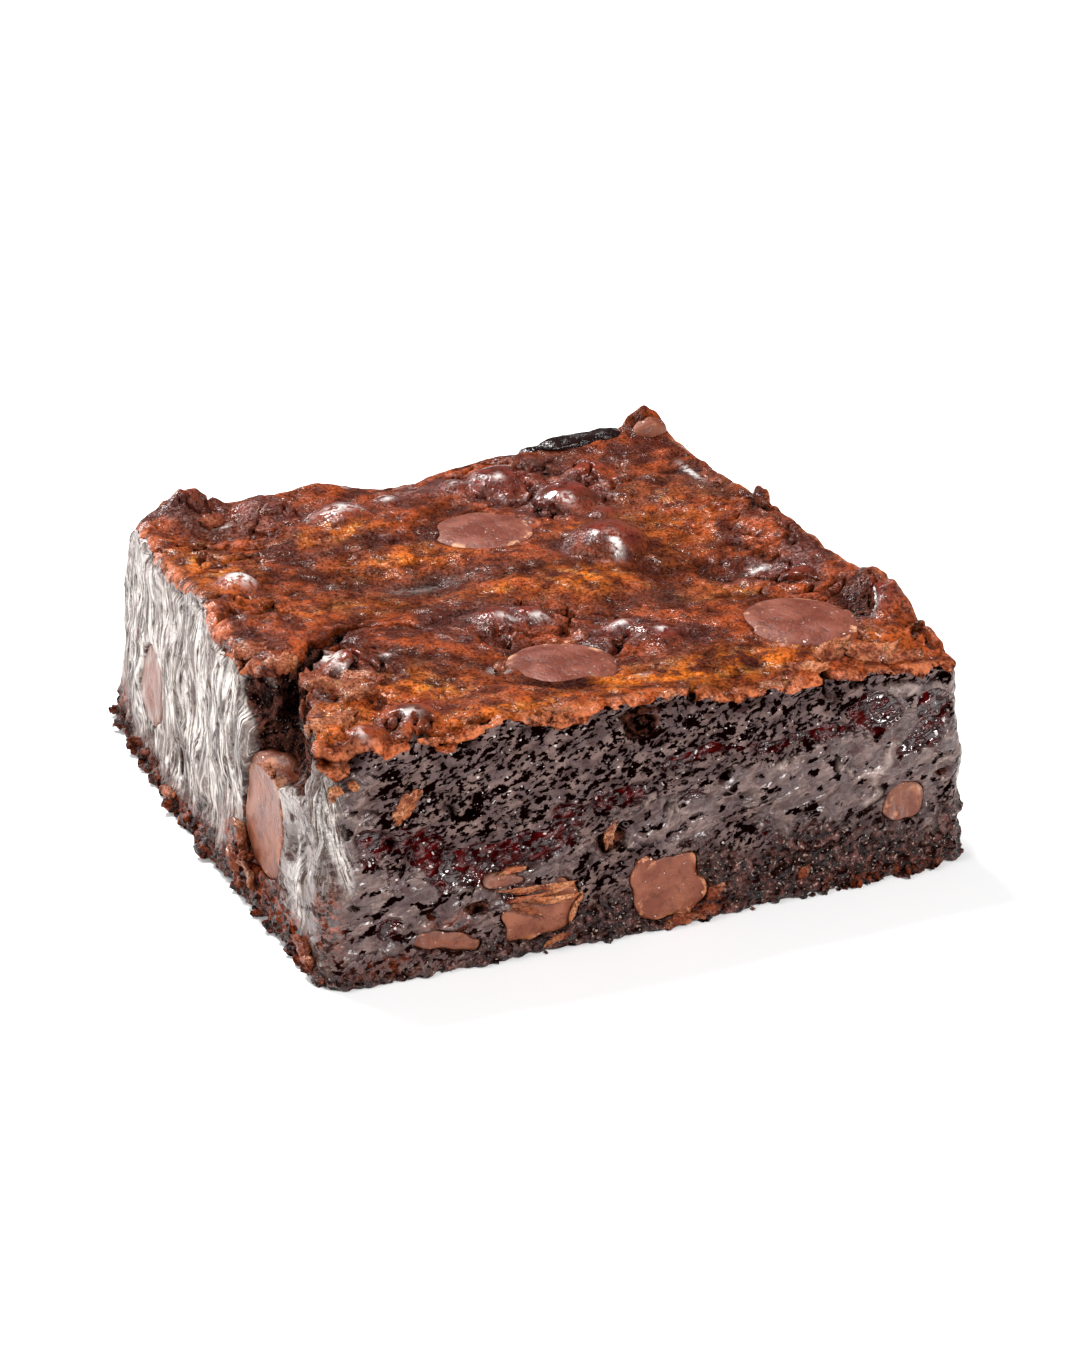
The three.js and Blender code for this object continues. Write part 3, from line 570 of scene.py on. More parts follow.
print("breaking the crust and the crumb")
rough = seededNoise(31, (xs, ys, zs), (2.2, 2.2, 2.2)).astype(np.float32)
crumbly = seededNoise(32, (xs, ys, zs), (0.85, 0.85, 0.85)).astype(np.float32)
raggedX = topX + 0.7 * seededNoise(33, (xs, ys), (1.6, 1.6)) + 0.3 * seededNoise(34, (xs, ys), (0.7, 0.7))
raggedY = topY + 0.7 * seededNoise(35, (xs, ys), (1.6, 1.6)) + 0.3 * seededNoise(36, (xs, ys), (0.7, 0.7))
crackNear = np.full(topX.shape, 99.0)
for path in (breakForm["crack"],) + breakForm["sideCracks"]:
    away, depth = pathAway(raggedX, raggedY, path)
    crackNear = np.minimum(crackNear, away)
    inCrack = np.maximum(away[:, :, None] + 0.25 * crumbly,
                         (topHeight - depth)[:, :, None] - gridZ + 0.4 * rough)
    body = np.maximum(body, -inCrack.astype(np.float32))
for middle, half in breakForm["hollows"]:
    part = window([m - h - 2 for m, h in zip(middle, half)], [m + h + 2 for m, h in zip(middle, half)])
    hollow = ellipsoid(gridX[part[0]] - middle[0], gridY[:, part[1]] - middle[1],
                       gridZ[:, :, part[2]] - middle[2], half)
    hollow = hollow + (0.8 * rough[part] + 0.55 * crumbly[part]) * min(1, half[0] / 2.4)
    body[part] = np.maximum(body[part], -hollow)

for disc in chocolateForm["discs"].values():
    middle = (disc[0], disc[1], plainHeight(disc[0], disc[1]))
    carve(middle, (disc[2], disc[2], 3), lambda x, y, z: discField(x, y, z, disc), -0.06)
for chip in chocolateForm["cut"].values():
    face, along, height, halfAlong, halfIn, halfUp = chip[:6]
    onPlane = planeAt(face, along, height)
    reach = max(halfAlong, halfUp)
    middle, half = ((onPlane, along, height), (halfIn * 1.3, reach, reach))
    if faceSides[face][2] == 1:
        middle, half = (along, onPlane, height), (reach, halfIn * 1.3, reach)
    carve(middle, half, lambda x, y, z: chipField(x, y, z, chip), chocolateForm["gap"])
carve((*chocolateForm["peak"]["at"], plainHeight(*chocolateForm["peak"]["at"])), (3, 3, 3), peakField, -0.1)


# The crust is a shell over the crumb, with a ragged lip down each cut face
# mm: thickness on top, how far the lip comes down each face, and how much farther its tongue comes down at the
# front left corner
lipForm = {"thickness": 1, "front": 0.95, "left": 1.5, "right": 1.4, "back": 1.3, "ragged": 0.6, "proud": 0.05,
           "tongue": 2.6}


def lipDrop(seed, axis, plain):
    # How far the crust comes down a cut face.
    return (plain + lipForm["ragged"] * seededNoise(seed, (axis,), (2.6,))
            + 0.6 * lipForm["ragged"] * seededNoise(seed + 1, (axis,), (0.8,)))


lip = np.full(topX.shape, lipForm["thickness"])
edges = {
    "front": (topY - blockForm["rim"]["frontLeft"][1],
              (lipDrop(41, xs, lipForm["front"])
               + lipForm["tongue"] * np.exp(-((xs + 32.6) / 1.7) ** 2))[:, None]),
    "back": (blockForm["rim"]["backLeft"][1] - topY, lipDrop(43, xs, lipForm["back"])[:, None]),
    "left": (topX - blockForm["rim"]["frontLeft"][0], lipDrop(45, ys, lipForm["left"])[None, :]),
    "right": (blockForm["rim"]["frontRight"][0] - topX, lipDrop(47, ys, lipForm["right"])[None, :])}
for inward, drop in edges.values():
    lip = lip + np.exp(-(np.maximum(0, inward) / 1.6) ** 2) * (drop - lipForm["thickness"])
lip = np.clip(lip, 0.5, 6)
nearEdge = ease(3.4, 1.2, np.min([np.abs(inward) for inward, _ in edges.values()], axis=0))
nearBreak = np.maximum(nearEdge, ease(3, 1, crackNear))
under = crustHeightPlain(*top) - lip + nearBreak * topRelief  # the crust's hidden underside is smooth
crustFoot = under[:, :, None] - gridZ
proud = lipForm["proud"] * (1 + 0.9 * seededNoise(49, (xs, ys), (1.4, 1.4)))[:, :, None]
crustBody = np.maximum(body - proud, crustFoot + 0.2 * nearBreak[:, :, None] * crumbly).astype(np.float32)
thinCracks = np.abs(seededNoise(51, (xs, ys), (3.2, 2.6)) + 0.3 * seededNoise(52, (xs, ys), (0.9, 0.9)))
thinWhere = ease(0.1, 0.6, pebbly + 0.8 * blob(*top, -28, -20, 7, 9) + 0.7 * blob(*top, 32, -24, 6, 9))
thinCrack = (thinCracks * 1.3 - 0.16 * thinWhere)[:, :, None]
inThinCrack = np.maximum(thinCrack, (topHeight - 0.8)[:, :, None] - gridZ)
crustBody = np.maximum(crustBody, -inThinCrack).astype(np.float32)
crumbBody = np.maximum(body, -crustFoot - 0.35).astype(np.float32)


# Meshing
def surfaceOf(field, origin, size):
    # One vertex in each cell that the surface crosses, and one face across each edge that it cuts.
    inside = field < 0
    shape = field.shape
    total = np.zeros([n - 1 for n in shape], np.int8)
    for i in (0, 1):
        for j in (0, 1):
            for k in (0, 1):
                total += inside[i:shape[0] - 1 + i, j:shape[1] - 1 + j, k:shape[2] - 1 + k]
    crossed = (total > 0) & (total < 8)
    cell = np.argwhere(crossed)
    index = np.full(crossed.shape, -1, np.int32)
    index[crossed] = np.arange(len(cell))
    place, hits = np.zeros(cell.shape), np.zeros(len(cell))
    for axis in range(3):
        step = np.eye(3, dtype=int)[axis]
        others = [k for k in range(3) if k != axis]
        for a in (0, 1):
            for b in (0, 1):
                start = cell.copy()
                start[:, others[0]] += a
                start[:, others[1]] += b
                near, far = field[tuple(start.T)], field[tuple((start + step).T)]
                cut = (near < 0) != (far < 0)
                t = near[cut] / (near[cut] - far[cut])
                place[cut] += start[cut] + t[:, None] * step
                hits[cut] += 1
    quads = []
    for axis in range(3):
        step = np.eye(3, dtype=int)[axis]
        first, second = (np.eye(3, dtype=int)[k] for k in ((axis + 1) % 3, (axis + 2) % 3))
        lower = tuple(slice(0, -1) if k == axis else slice(1, -1) for k in range(3))
        upper = tuple(slice(1, None) if k == axis else slice(1, -1) for k in range(3))
        cut = inside[lower] != inside[upper]
        edge = np.argwhere(cut) + (1 - step)
        quad = np.stack([index[tuple(e.T)] for e in (
            edge - first - second, edge - second, edge, edge - first)], 1)
        quad[~inside[tuple(edge.T)]] = quad[~inside[tuple(edge.T)]][:, ::-1]
        quads.append(quad)
    return np.array(origin) + place / hits[:, None] * size, np.concatenate(quads)


def largePieces(places, quads, least=900):
    # Drops loose scraps and sealed bubbles, with fewer faces than the least.
    name = np.arange(len(places))
    while True:
        lowest = name[quads].min(axis=1)
        renamed = name.copy()
        for k in range(4):
            np.minimum.at(renamed, quads[:, k], lowest)
        renamed = renamed[renamed]
        if (renamed == name).all():
            break
        name = renamed
    faceCount = np.bincount(name[quads[:, 0]], minlength=len(places))
    kept = faceCount[name] >= min(least, faceCount.max())
    keptFaces = quads[kept[quads[:, 0]]]
    renumber = np.cumsum(kept) - 1
    return places[kept], renumber[keptFaces]


def objectOf(name, places, polygons, facesWanted=None):
    # A Blender object from vertices in mm, thinned to a number of triangles if one is given.
    mesh = bpy.data.meshes.new(name)
    sides = polygons.shape[1]
    mesh.vertices.add(len(places))
    mesh.vertices.foreach_set("co", (places * mm).astype(np.float32).ravel())
    mesh.loops.add(polygons.size)
    mesh.loops.foreach_set("vertex_index", polygons.astype(np.int32).ravel())
    mesh.polygons.add(len(polygons))
    mesh.polygons.foreach_set("loop_start", np.arange(0, polygons.size, sides, dtype=np.int32))
    mesh.update(calc_edges=True)
    mesh.validate()
    piece = bpy.data.objects.new(name, mesh)
    bpy.context.collection.objects.link(piece)
    triangles = len(polygons) * (sides - 2)
    if facesWanted and triangles > facesWanted:
        thin = piece.modifiers.new("thin", "DECIMATE")
        thin.ratio = facesWanted / triangles
        thinned = bpy.data.meshes.new_from_object(piece.evaluated_get(bpy.context.evaluated_depsgraph_get()))
        piece.modifiers.clear()
        piece.data = thinned
        bpy.data.meshes.remove(mesh)
        thinned.name = name
    piece.data.polygons.foreach_set("use_smooth", [True] * len(piece.data.polygons))
    print(name, len(piece.data.vertices), "vertices", len(piece.data.polygons), "faces")
    return piece


def placesOf(piece):
    # The vertices of a piece, in mm.
    places = np.empty(len(piece.data.vertices) * 3, np.float32)
    piece.data.vertices.foreach_get("co", places)
    return places.reshape(-1, 3) / mm


def paint(piece, **values):
    # Writes one number for each vertex under each name, for the materials to read.
    for name, value in values.items():
        layer = piece.data.attributes.new(name, "FLOAT", "POINT")
        layer.data.foreach_set("value", np.asarray(value, np.float32))


# most triangles in a piece
meshForm = {"crumb": 195000, "crust": 190000, "disc": 16000, "chip": 12000}
print("meshing the crumb and the crust")
crumb = objectOf("brownie_crumb", *largePieces(*surfaceOf(crumbBody, low, sample)), meshForm["crumb"])
crust = objectOf("brownie_crust", *largePieces(*surfaceOf(crustBody, low, sample), 150), meshForm["crust"])


crumbForm = {
    # place along, height, reaches, strength
    "leftRust": (
        (-15.5, 5.4, 6.5, 3.4, 1.3), (-29, 2.4, 3, 2, 0.8), (-34.6, 7, 0.8, 3, 0.9), (-24, 2, 5, 2, 0.8),
        (-2, 1.4, 5, 1.8, 0.9), (8, 1, 6, 1.6, 0.7), (20, 1.2, 6, 1.6, 0.8), (33, 3, 3, 3, 1)),
    "frontRust": (
        (-33.8, 7, 0.8, 3, 0.9), (-28, 2, 4, 1, 0.4), (26, 0.8, 7, 1.2, 0.6),
        (4.6, 1.2, 3, 1.6, 0.9), (-22, 5.4, 3, 1, 0.4)),
}


def paintCrumb(piece):
    # Every vertex takes the numbers of the cut face that it lies on.
    x, y, z = placesOf(piece).T.astype(float)
    depth = {"front": y - cutPlane("front", x, z), "back": cutPlane("back", x, z) - y,
             "left": x - cutPlane("left", y, z), "right": cutPlane("right", y, z) - x}
    names = list(depth)
    stacked = np.stack([depth[name] for name in names])
    nearest = stacked.argmin(axis=0)
    inward = stacked.min(axis=0)
    values = {key: np.zeros(len(x)) for key in (
        "film", "melt", "dark", "coarse", "strand", "flow", "ridge")}
    for k, name in enumerate(names):
        here = nearest == k
        along, axis = (x, xs) if faceSides[name][2] else (y, ys)
        for key in values:
            values[key][here] = mapAt(faces[name][key], along[here], z[here], axis, zs)
    # places set in from the cut faces and inside the hollows, where shade is painted over the crumb
    deep = ease(1.3, 2.4, inward)
    for middle, half in breakForm["hollows"]:
        deep = np.maximum(deep, ease(1.1, 0.3, ellipsoid(*(c - m for c, m in zip((x, y, z), middle)), half))
                          * ease(0.3, 0.7, inward))
    values["deep"] = deep
    for key in ("film", "strand", "melt", "ridge"):
        values[key] = values[key] * (1 - deep)
    values["coarse"] = np.maximum(values["coarse"], deep)
    # painted shade: the hollows in the front face go near black
    values["dark"] = np.maximum(values["dark"], 0.9 * deep * (nearest == names.index("front")))
    # reddish crumbs that the knife pushed to the foot of the left face and of the corner
    values["rust"] = (1 - deep) * (
        (nearest == names.index("left")) * spots(y, z, crumbForm["leftRust"])
        + (nearest == names.index("front")) * spots(x, z, crumbForm["frontRust"]))
    paint(piece, **values)


glowForm = {
    # middle x, y, reach along x and y, strength: where the crust baked orange
    "glow": (
        (1.7, -29.4, 9, 3.6, 1), (7.8, -3, 5, 4, 0.9), (-9.2, 10.4, 7, 3, 0.7), (-19, -24, 5, 4, 0.8),
        (20.8, -11, 5, 3, 0.7), (12, -30, 7, 3, 0.9), (-14, -33, 9, 2, 0.6), (-30, 14, 4, 8, 0.8),
        (-13, 20, 5, 2.4, 0.9), (18, 5, 4, 6, 0.5), (-18, 0, 8, 3, 0.6), (14, 10, 4, 3, 0.5),
        (-31, -30, 4, 4, 0.7), (24, -29, 6, 3, 0.6), (26, 12, 6, 8, 0.35), (-2, -3, 4, 3, 0.5)),
    # where it is dark, wet and reddish
    "wet": (
        (14.6, 20.6, 5, 4, 1), (9.3, 27.6, 5, 3, 0.9), (13.4, 5, 4.6, 4, 0.7), (6.3, -18, 4, 3, 0.9),
        (-5, -11, 5, 3, 0.9), (27.8, -8, 5, 3, 0.9), (31.4, -22, 3, 3, 0.6), (-25, -17, 3, 2.6, 0.5),
        (-12, 24.5, 5, 2.6, 0.5), (-27, 34, 4, 3, 0.6), (1, 29, 5, 2.4, 0.8), (-20, 31, 4, 3, 0.6)),
    # where a film of crumb dulls it to greyish brown
    "dull": (
        (-8, 4, 9, 3.4, 1), (13, -10, 8, 3, 0.8), (-24, 28, 8, 3, 0.7), (5, -24.6, 6, 2.6, 0.6),
        (-16, -19, 5, 3, 0.6), (19, 30, 8, 3, 0.7), (31.6, 18, 4, 5, 0.9), (-12, -27, 6, 3, 0.4),
        (20, 15, 6, 3, 0.5), (-16, 16, 6, 3, 0.5)),
    # painted white highlights, where the glossy sugar film glares
    "paintedGlare": (
        (-28.6, 7.4, 1.3, 1, 1.3), (-11.6, 24.1, 1.8, 0.9, 1), (-26.4, -15.4, 0.7, 2.2, 1.2),
        (-25.6, -19.2, 0.6, 1.2, 0.8), (-10.8, -22.4, 0.8, 0.5, 1.3), (-9, 4, 4, 0.8, 0.14),
        (31.6, 20.4, 0.4, 2.6, 0.9), (13, 1.6, 0.6, 1.1, 1.3), (14.2, 17.6, 0.6, 0.6, 1.1),
        (9.1, 26.4, 0.7, 0.5, 0.9), (4.8, -17.6, 1, 0.4, 1), (8.2, -20.4, 0.6, 0.4, 0.9),
        (-2.2, -12, 1, 0.4, 0.9), (-5.6, -11.6, 1, 0.4, 0.8), (2.2, -28.4, 0.6, 0.5, 0.8),
        (27, -6.4, 1.4, 0.4, 0.8), (30.6, -24.2, 0.7, 0.6, 0.8), (-24, -31.8, 0.9, 0.6, 0.7),
        (-29.6, -33.4, 0.4, 0.8, 0.7), (4.6, 28.2, 0.7, 0.4, 0.8), (-4.6, 26.6, 0.7, 0.4, 0.8),
        (-20.6, -16, 0.5, 0.5, 0.8), (19.4, -26.6, 1, 0.5, 0.7), (-24.4, 28, 1.4, 0.3, 0.7)),
}


def paintCrust(piece):
    # Glow, wet and dull come from the listed patches, and so does the painted glare highlight; the rest comes
    # from the relief, with painted shade in its valleys and, near black, in cracks and under the lip.
    x, y, z = placesOf(piece).T.astype(float)
    smooth = crustHeightPlain(x, y)
    relief = mapAt(topRelief, x, y, xs, ys)
    inside = np.min([x - cutPlane("left", y, z), cutPlane("right", y, z) - x,
                     y - cutPlane("front", x, z), cutPlane("back", x, z) - y], axis=0)
    below = smooth + relief - z
    paint(piece, **{name: spots(x, y, places) for name, places in glowForm.items()},
          valley=ease(0.15, -0.25, relief), rimEdge=ease(1.6, 0.1, inside),
          deep=ease(0.45, 1.2, below) * ease(0.5, 1.4, inside),
          dome=mapAt(domed, x, y, xs, ys), pebble=mapAt(pebbly, x, y, xs, ys) * mapAt(pebbles, x, y, xs, ys))


print("painting the crumb and the crust")
paintCrumb(crumb)
paintCrust(crust)


# Chocolate pieces, each on a finer grid of its own
def meshPiece(name, middle, half, field, size, facesWanted=None):
    # Meshes a field of distances in a box with this middle and these half sizes.
    axes = [np.arange(m - h - 3 * size, m + h + 3 * size, size) for m, h in zip(middle, half)]
    x, y, z = axes[0][:, None, None], axes[1][None, :, None], axes[2][None, None, :]
    values = field(x, y, z, axes) + 0 * (x + y + z)
    origin = [axis[0] for axis in axes]
    return objectOf(name, *largePieces(*surfaceOf(values, origin, size)), facesWanted)


fine = 0.14  # mm between samples of a chocolate piece
chocolates = []
for number, (name, disc) in enumerate(chocolateForm["discs"].items()):
    level = plainHeight(disc[0], disc[1])

    def discShape(x, y, z, axes):
        noise = 0.1 * seededNoise(600 + number, axes, (2.6, 2.6, 2)) + 0.05 * seededNoise(
            620 + number, axes, (0.8, 0.8, 0.8))
        return discField(x, y, z, disc) + noise

    piece = meshPiece(name.replace("disc", "baking_disc"), (disc[0], disc[1], level - 0.8),
                      (disc[2] + 0.4, disc[2] + 0.4, disc[3] + 0.6), discShape, fine, meshForm["disc"])
    x, y, z = placesOf(piece).T.astype(float)
    paint(piece, rim=ease(disc[2] - 1.8, disc[2] - 0.7, np.hypot(x - disc[0], y - disc[1])),
          veil=np.zeros(len(x)))
    chocolates.append((piece, name))

for number, (name, chip) in enumerate(chocolateForm["cut"].items()):
    face, along, height, halfAlong, halfIn, halfUp = chip[:6]
    side, out = faceSides[face][2:4]
    onPlane = planeAt(face, along, height)
    reach = max(halfAlong, halfUp) + 0.4
    middle = [along, onPlane, height] if side else [onPlane, along, height]
    half = [reach, halfIn * 1.4, reach] if side else [halfIn * 1.4, reach, reach]

    def chipShape(x, y, z, axes):
        place = x if side else y
        standing = y if side else x
        knife = (standing - cutPlane(face, place, z)) * out + chocolateForm["inset"]
        knife = knife + 0.2 * lumpy(703, x, y, z, 3) + 0.06 * lumpy(704, x, y, z, 0.8)
        return roundMax(chipField(x, y, z, chip) + 0.05 * lumpy(702, x, y, z, 0.6), knife, 0.3)

    piece = meshPiece(name.replace("chip", "cut_chip"), middle, half, chipShape, fine, meshForm["chip"])
    x, y, z = placesOf(piece).T.astype(float)
    inward = (cutPlane(face, x if side else y, z) - (y if side else x)) * out
    edge = plainChip(x, y, z, chip)
    paint(piece, rim=ease(-0.9, -0.2, edge) * ease(1.8, 0.8, inward),
          veil=chocolateForm["veil"].get(name, 0) * ease(-3, -0.4, edge))
    chocolates.append((piece, name))

peak = chocolateForm["peak"]
peakTop = plainHeight(*peak["at"])
piece = meshPiece("peak_chip", (*peak["at"], peakTop), (3.2, 3.2, 4),
                  lambda x, y, z, axes: peakField(x, y, z) + 0.12 * seededNoise(790, axes, (1.6, 1.6, 1.6)),
                  fine)
paint(piece, rim=np.full(len(piece.data.vertices), 0.7))
chocolates.append((piece, "chip_peak"))


# Flakes of crust that stand off the block, crumbs stuck to it, and melted lumps
scrapForm = {
    # face, place along, place up or back, how far it stands off, half length, half width, half thickness,
    # turn, lift, curl, how orange
    "flakes": (
        ("top", 21.6, -31.8, 0.55, 3, 1.2, 0.45, 24, 32, 0.9, 0.63),
        ("top", 26, -32.6, 0.35, 2.8, 1.2, 0.45, -14, 27.2, 0.8, 0.7),
        ("top", 18, -33.6, 0.05, 2, 0.9, 0.35, -30, 16, 0.6, 0.7),
        ("top", 29.4, -33.4, -0.15, 2.2, 1, 0.4, 10, 12.8, 0.5, 0.49),
        ("top", 33.4, 17.6, -0.45, 3, 1.5, 0.5, 84, 4.8, 0.3, 0.07),
        ("top", -31.6, -15.8, -0.15, 1.8, 1.5, 0.5, 30, 9.6, 0.4, 0.49),
        ("top", -27.6, -24.8, 0.15, 2.8, 1.2, 0.5, -35, 20.8, 0.7, 0.56),
        ("top", -25, -21.4, 0.05, 2.4, 1.2, 0.5, -30, 20.8, 0.6, 0.35),
        ("top", -31.4, -30.6, -0.05, 2.6, 1.3, 0.5, 25, 12.8, 0.6, 0.63),
        ("top", -25.2, 29.4, 0.15, 1.8, 1.5, 0.5, 20, 6.4, 0.2, 0.14),
        ("top", -29.6, -19.8, -0.25, 2, 1.6, 0.5, 70, 16, 0.4, 0.42),
        ("top", -32.8, -9.4, -0.25, 2, 1.3, 0.5, -50, 9.6, 0.4, 0.35),
        ("top", -10.6, -22, -0.05, 1.3, 0.7, 0.35, 60, 8, 0.3, 0.28),
        ("top", -1.6, -16.8, -0.25, 1.6, 0.5, 0.3, -16, 12.8, 0.2, 0.7),
        ("top", 20, -28.2, -0.25, 1.7, 0.6, 0.3, 10, 9.6, 0.2, 0.63),
        ("top", -8.6, -34.6, -0.45, 2.6, 0.8, 0.4, 6, -11.2, 0.3, 0.7),
        ("top", 1, -34.8, -0.35, 1.8, 0.6, 0.35, -10, 8, 0.3, 0.63),
        ("top", 14, -34.7, -0.35, 2, 0.7, 0.4, 8, 16, 0.3, 0.63),
        ("front", -12.3, 7.1, 0.2, 4.2, 0.55, 0.2, -4, 40, -0.3, 0.85),
        ("front", -13.1, 6.5, 0.35, 3.4, 0.5, 0.18, 3, 46, -0.35, 0.6),
        ("front", -11.6, 5.9, 0.45, 2.9, 0.5, 0.18, -6, 36, -0.3, 0.9),
        ("front", -14.3, 5.2, 0.35, 1.7, 0.5, 0.2, -24, 30, 0.2, 0.63),
        ("front", -9.2, 4.4, 0.25, 1.5, 0.45, 0.2, 66, 24, 0.2, 0.8),
        ("front", -33.2, 20.9, 0.15, 0.8, 0.6, 0.45, 40, 10, 0.2, 1),
        ("front", -31.3, 21.3, 0.1, 0.6, 0.45, 0.4, -30, 14, 0.2, 1),
        ("front", -11, 1.7, 0.4, 1.6, 0.45, 0.25, 10, 14, 0.3, 0.63),
        ("front", -5, 11.4, -0.2, 1.5, 0.7, 0.35, 76, 14, 0.3, 0.7),
        ("front", -26.2, 18.3, 0.25, 2, 0.95, 0.4, 50, 8, 0.2, 0.7),
        ("front", 6.3, 3.2, 0.2, 1.2, 0.7, 0.4, 40, 8, 0.2, 0.35),
        ("front", 5.2, 1.2, 0.2, 1.4, 0.7, 0.45, 10, 8, 0.2, 0.42),
        ("front", 2.2, 0.9, 0.3, 2, 0.7, 0.45, 8, 8, 0.2, 0.56),
        ("front", 16.6, 3, 0.1, 0.9, 0.6, 0.35, 50, 8, 0.1, 0.42),
        ("front", -15.6, 9.7, 0.1, 1.4, 0.4, 0.25, 4, 14, 0.2, 0.63),
        ("left", -14.4, 7.4, 0.4, 1.7, 0.6, 0.45, -50, 14, 0.5, 0.56),
        ("left", -16, 5.4, 0.6, 1.5, 0.7, 0.5, 40, 14, 0.5, 0.56),
        ("left", -17.6, 4.2, 0.5, 1.8, 0.7, 0.45, -36, 14, 0.4, 0.56),
        ("left", -13, 3.2, 0.3, 2.4, 1, 0.6, -40, 10, 0.3, 0.42),
        ("left", -21, 17.4, 0.1, 2.6, 0.5, 0.35, 8, 20, 0.4, 0.63),
        ("left", -31.6, 2.2, 0.3, 2.2, 1.1, 0.6, -20, 8, 0.3, 0.35),
        ("left", 10, 1.2, 0.3, 2.2, 0.8, 0.5, 6, 8, 0.2, 0.42),
        ("back", 14, 4.4, 0.1, 2, 0.7, 0.35, 20, 10, 0.3, 0.56),
        ("back", -13, 9, 0.1, 2.6, 0.6, 0.3, 6, 16, 0.3, 0.7),
        ("right", -10, 10.8, 0.1, 2.8, 0.6, 0.3, -6, 16, 0.3, 0.7),
        ("right", 20, 5, 0.1, 1.8, 0.7, 0.35, 60, 10, 0.3, 0.56)),
    # face, from, to, number, size: crumbs along the foot
    "crumbRows": (("left", -34, 35, 34, 1.1), ("front", 17, 33, 16, 0.8), ("front", -33, 10, 9, 0.6),
                  ("back", -33, 33, 22, 0.8), ("right", -35, 33, 26, 0.9)),
    # middle, half sizes, turn: black chocolate that melted over the back edge
    "melted": (((22.8, 34.2, 0.2), (5.2, 1.7, 0.9), 4), ((18, 34.4, -0.1), (2.8, 1.2, 0.7), 8),
               ((26.8, 34.2, 0.2), (2.2, 1.5, 0.8), -12)),
}
faceAxes = {"top": ((1, 0, 0), (0, 1, 0), (0, 0, 1)), "front": ((1, 0, 0), (0, 0, 1), (0, -1, 0)),
            "left": ((0, -1, 0), (0, 0, 1), (-1, 0, 0)), "right": ((0, 1, 0), (0, 0, 1), (1, 0, 0)),
            "back": ((-1, 0, 0), (0, 0, 1), (0, 1, 0))}


def placeOn(face, along, up, off):
    # A place in mm on a face or on the crust, this far off it.
    if face == "top":
        return np.array([along, up, plainHeight(along, up) + off])
    side, out = faceSides[face][2:4]
    plane = planeAt(face, along, up) + out * off
    return np.array([along, plane, up] if side else [plane, along, up])


def scrap(seed, half, curl, ragged, rows, spokes):
    # A closed uneven lump, as points and triangles. A flat one with a curl is a flake.
    random = np.random.default_rng(seed)
    down = np.linspace(0, np.pi, rows + 2)[1:-1, None]
    around = np.arange(spokes) / spokes * 2 * np.pi + random.uniform(0, 6)
    outline = random.normal(0, 1, spokes) + np.roll(random.normal(0, 1, spokes), 1)
    rough = random.normal(0, 1, (rows, spokes))
    rough = (rough + np.roll(rough, 1, axis=1)) / 2
    reach = 1 + ragged * (0.6 * outline + 0.5 * rough)
    x, y = np.sin(down) ** 0.7 * np.cos(around) * reach, np.sin(down) ** 0.7 * np.sin(around) * reach
    waves = random.uniform(0, 6, 2)
    wavy = min(0.5, 3.4 * ragged) * np.sin(4.4 * x + waves[0]) * np.sin(3.6 * y + waves[1])
    z = np.cos(down) * (1 + 0.6 * ragged * rough) + wavy
    points = np.stack([x * half[0], y * half[1], z * half[2] + curl * x * x + 0.3 * curl * y], 2).reshape(-1, 3)
    points = np.vstack([points, [0, 0, half[2]], [0, 0, -half[2]]])
    triangles = []
    for j in range(spokes):
        k = (j + 1) % spokes
        triangles += [(rows * spokes, j, k),
                      (rows * spokes + 1, (rows - 1) * spokes + k, (rows - 1) * spokes + j)]
        for i in range(rows - 1):
            a, b, c, d = i * spokes + j, i * spokes + k, (i + 1) * spokes + k, (i + 1) * spokes + j
            triangles += [(a, d, c), (a, c, b)]
    return points, np.array(triangles)


def standing(points, face, place, turn, lift):
    # Turns a scrap in its face's plane, lifts one long edge off it and puts it in its place.
    across, up, out = (np.array(axis, float) for axis in faceAxes[face])
    x, w, n = points.T
    w, n = turned(w, n, -lift)
    x, w = turned(x, w, -turn)
    return place + x[:, None] * across + w[:, None] * up + n[:, None] * out


def joined(name, scraps):
    # One object from many scraps, with the painted values of each.
    offsets = np.cumsum([0] + [len(points) for points, _, _ in scraps])
    piece = objectOf(name, np.vstack([points for points, _, _ in scraps]),
                     np.vstack([triangles + start for (_, triangles, _), start in zip(scraps, offsets)]))
    for key in scraps[0][2]:
        paint(piece, **{key: np.concatenate([np.full(len(points), values[key])
                                             for points, _, values in scraps])})
    return piece


print("laying flakes and crumbs")
scraps = []
for number, (face, along, up, off, *half, turn, lift, curl, orange) in enumerate(scrapForm["flakes"]):
    points, triangles = scrap(900 + number, half, curl, 0.15, 13, 34)
    points = standing(points, face, placeOn(face, along, up, off), turn, lift)
    scraps.append((points, triangles, {"glow": orange, "rimEdge": max(0, orange - 0.4)}))
flakes = joined("crust_flakes", scraps)
scraps = []
random = np.random.default_rng(950)
for face, start, end, count, size in scrapForm["crumbRows"]:
    for along in np.linspace(start, end, count) + random.uniform(-0.8, 0.8, count):
        half = size * random.uniform(0.35, 1.1) ** 1.5 * 1.3 * random.uniform(0.6, 1, 3) * (1, 0.7, 0.7)
        points, triangles = scrap(int(along * 100) + 99000, half, 0, 0.3, 7, 14)
        place = placeOn(face, along, half[2] * 0.8 + random.uniform(0, 0.7) ** 2, 0.15 * half[1])
        place[2] = max(place[2], half[2])
        rust = 0.9 if face == "left" or along > 15 else 0.3
        points = standing(points, "top", place, random.uniform(0, 180), 0)
        points[:, 2] = np.maximum(points[:, 2], 0.02)
        scraps.append((points, triangles, {"rust": rust * random.uniform(0.5, 1.1), "coarse": 1}))
crumbs = joined("foot_crumbs", scraps)
scraps = []
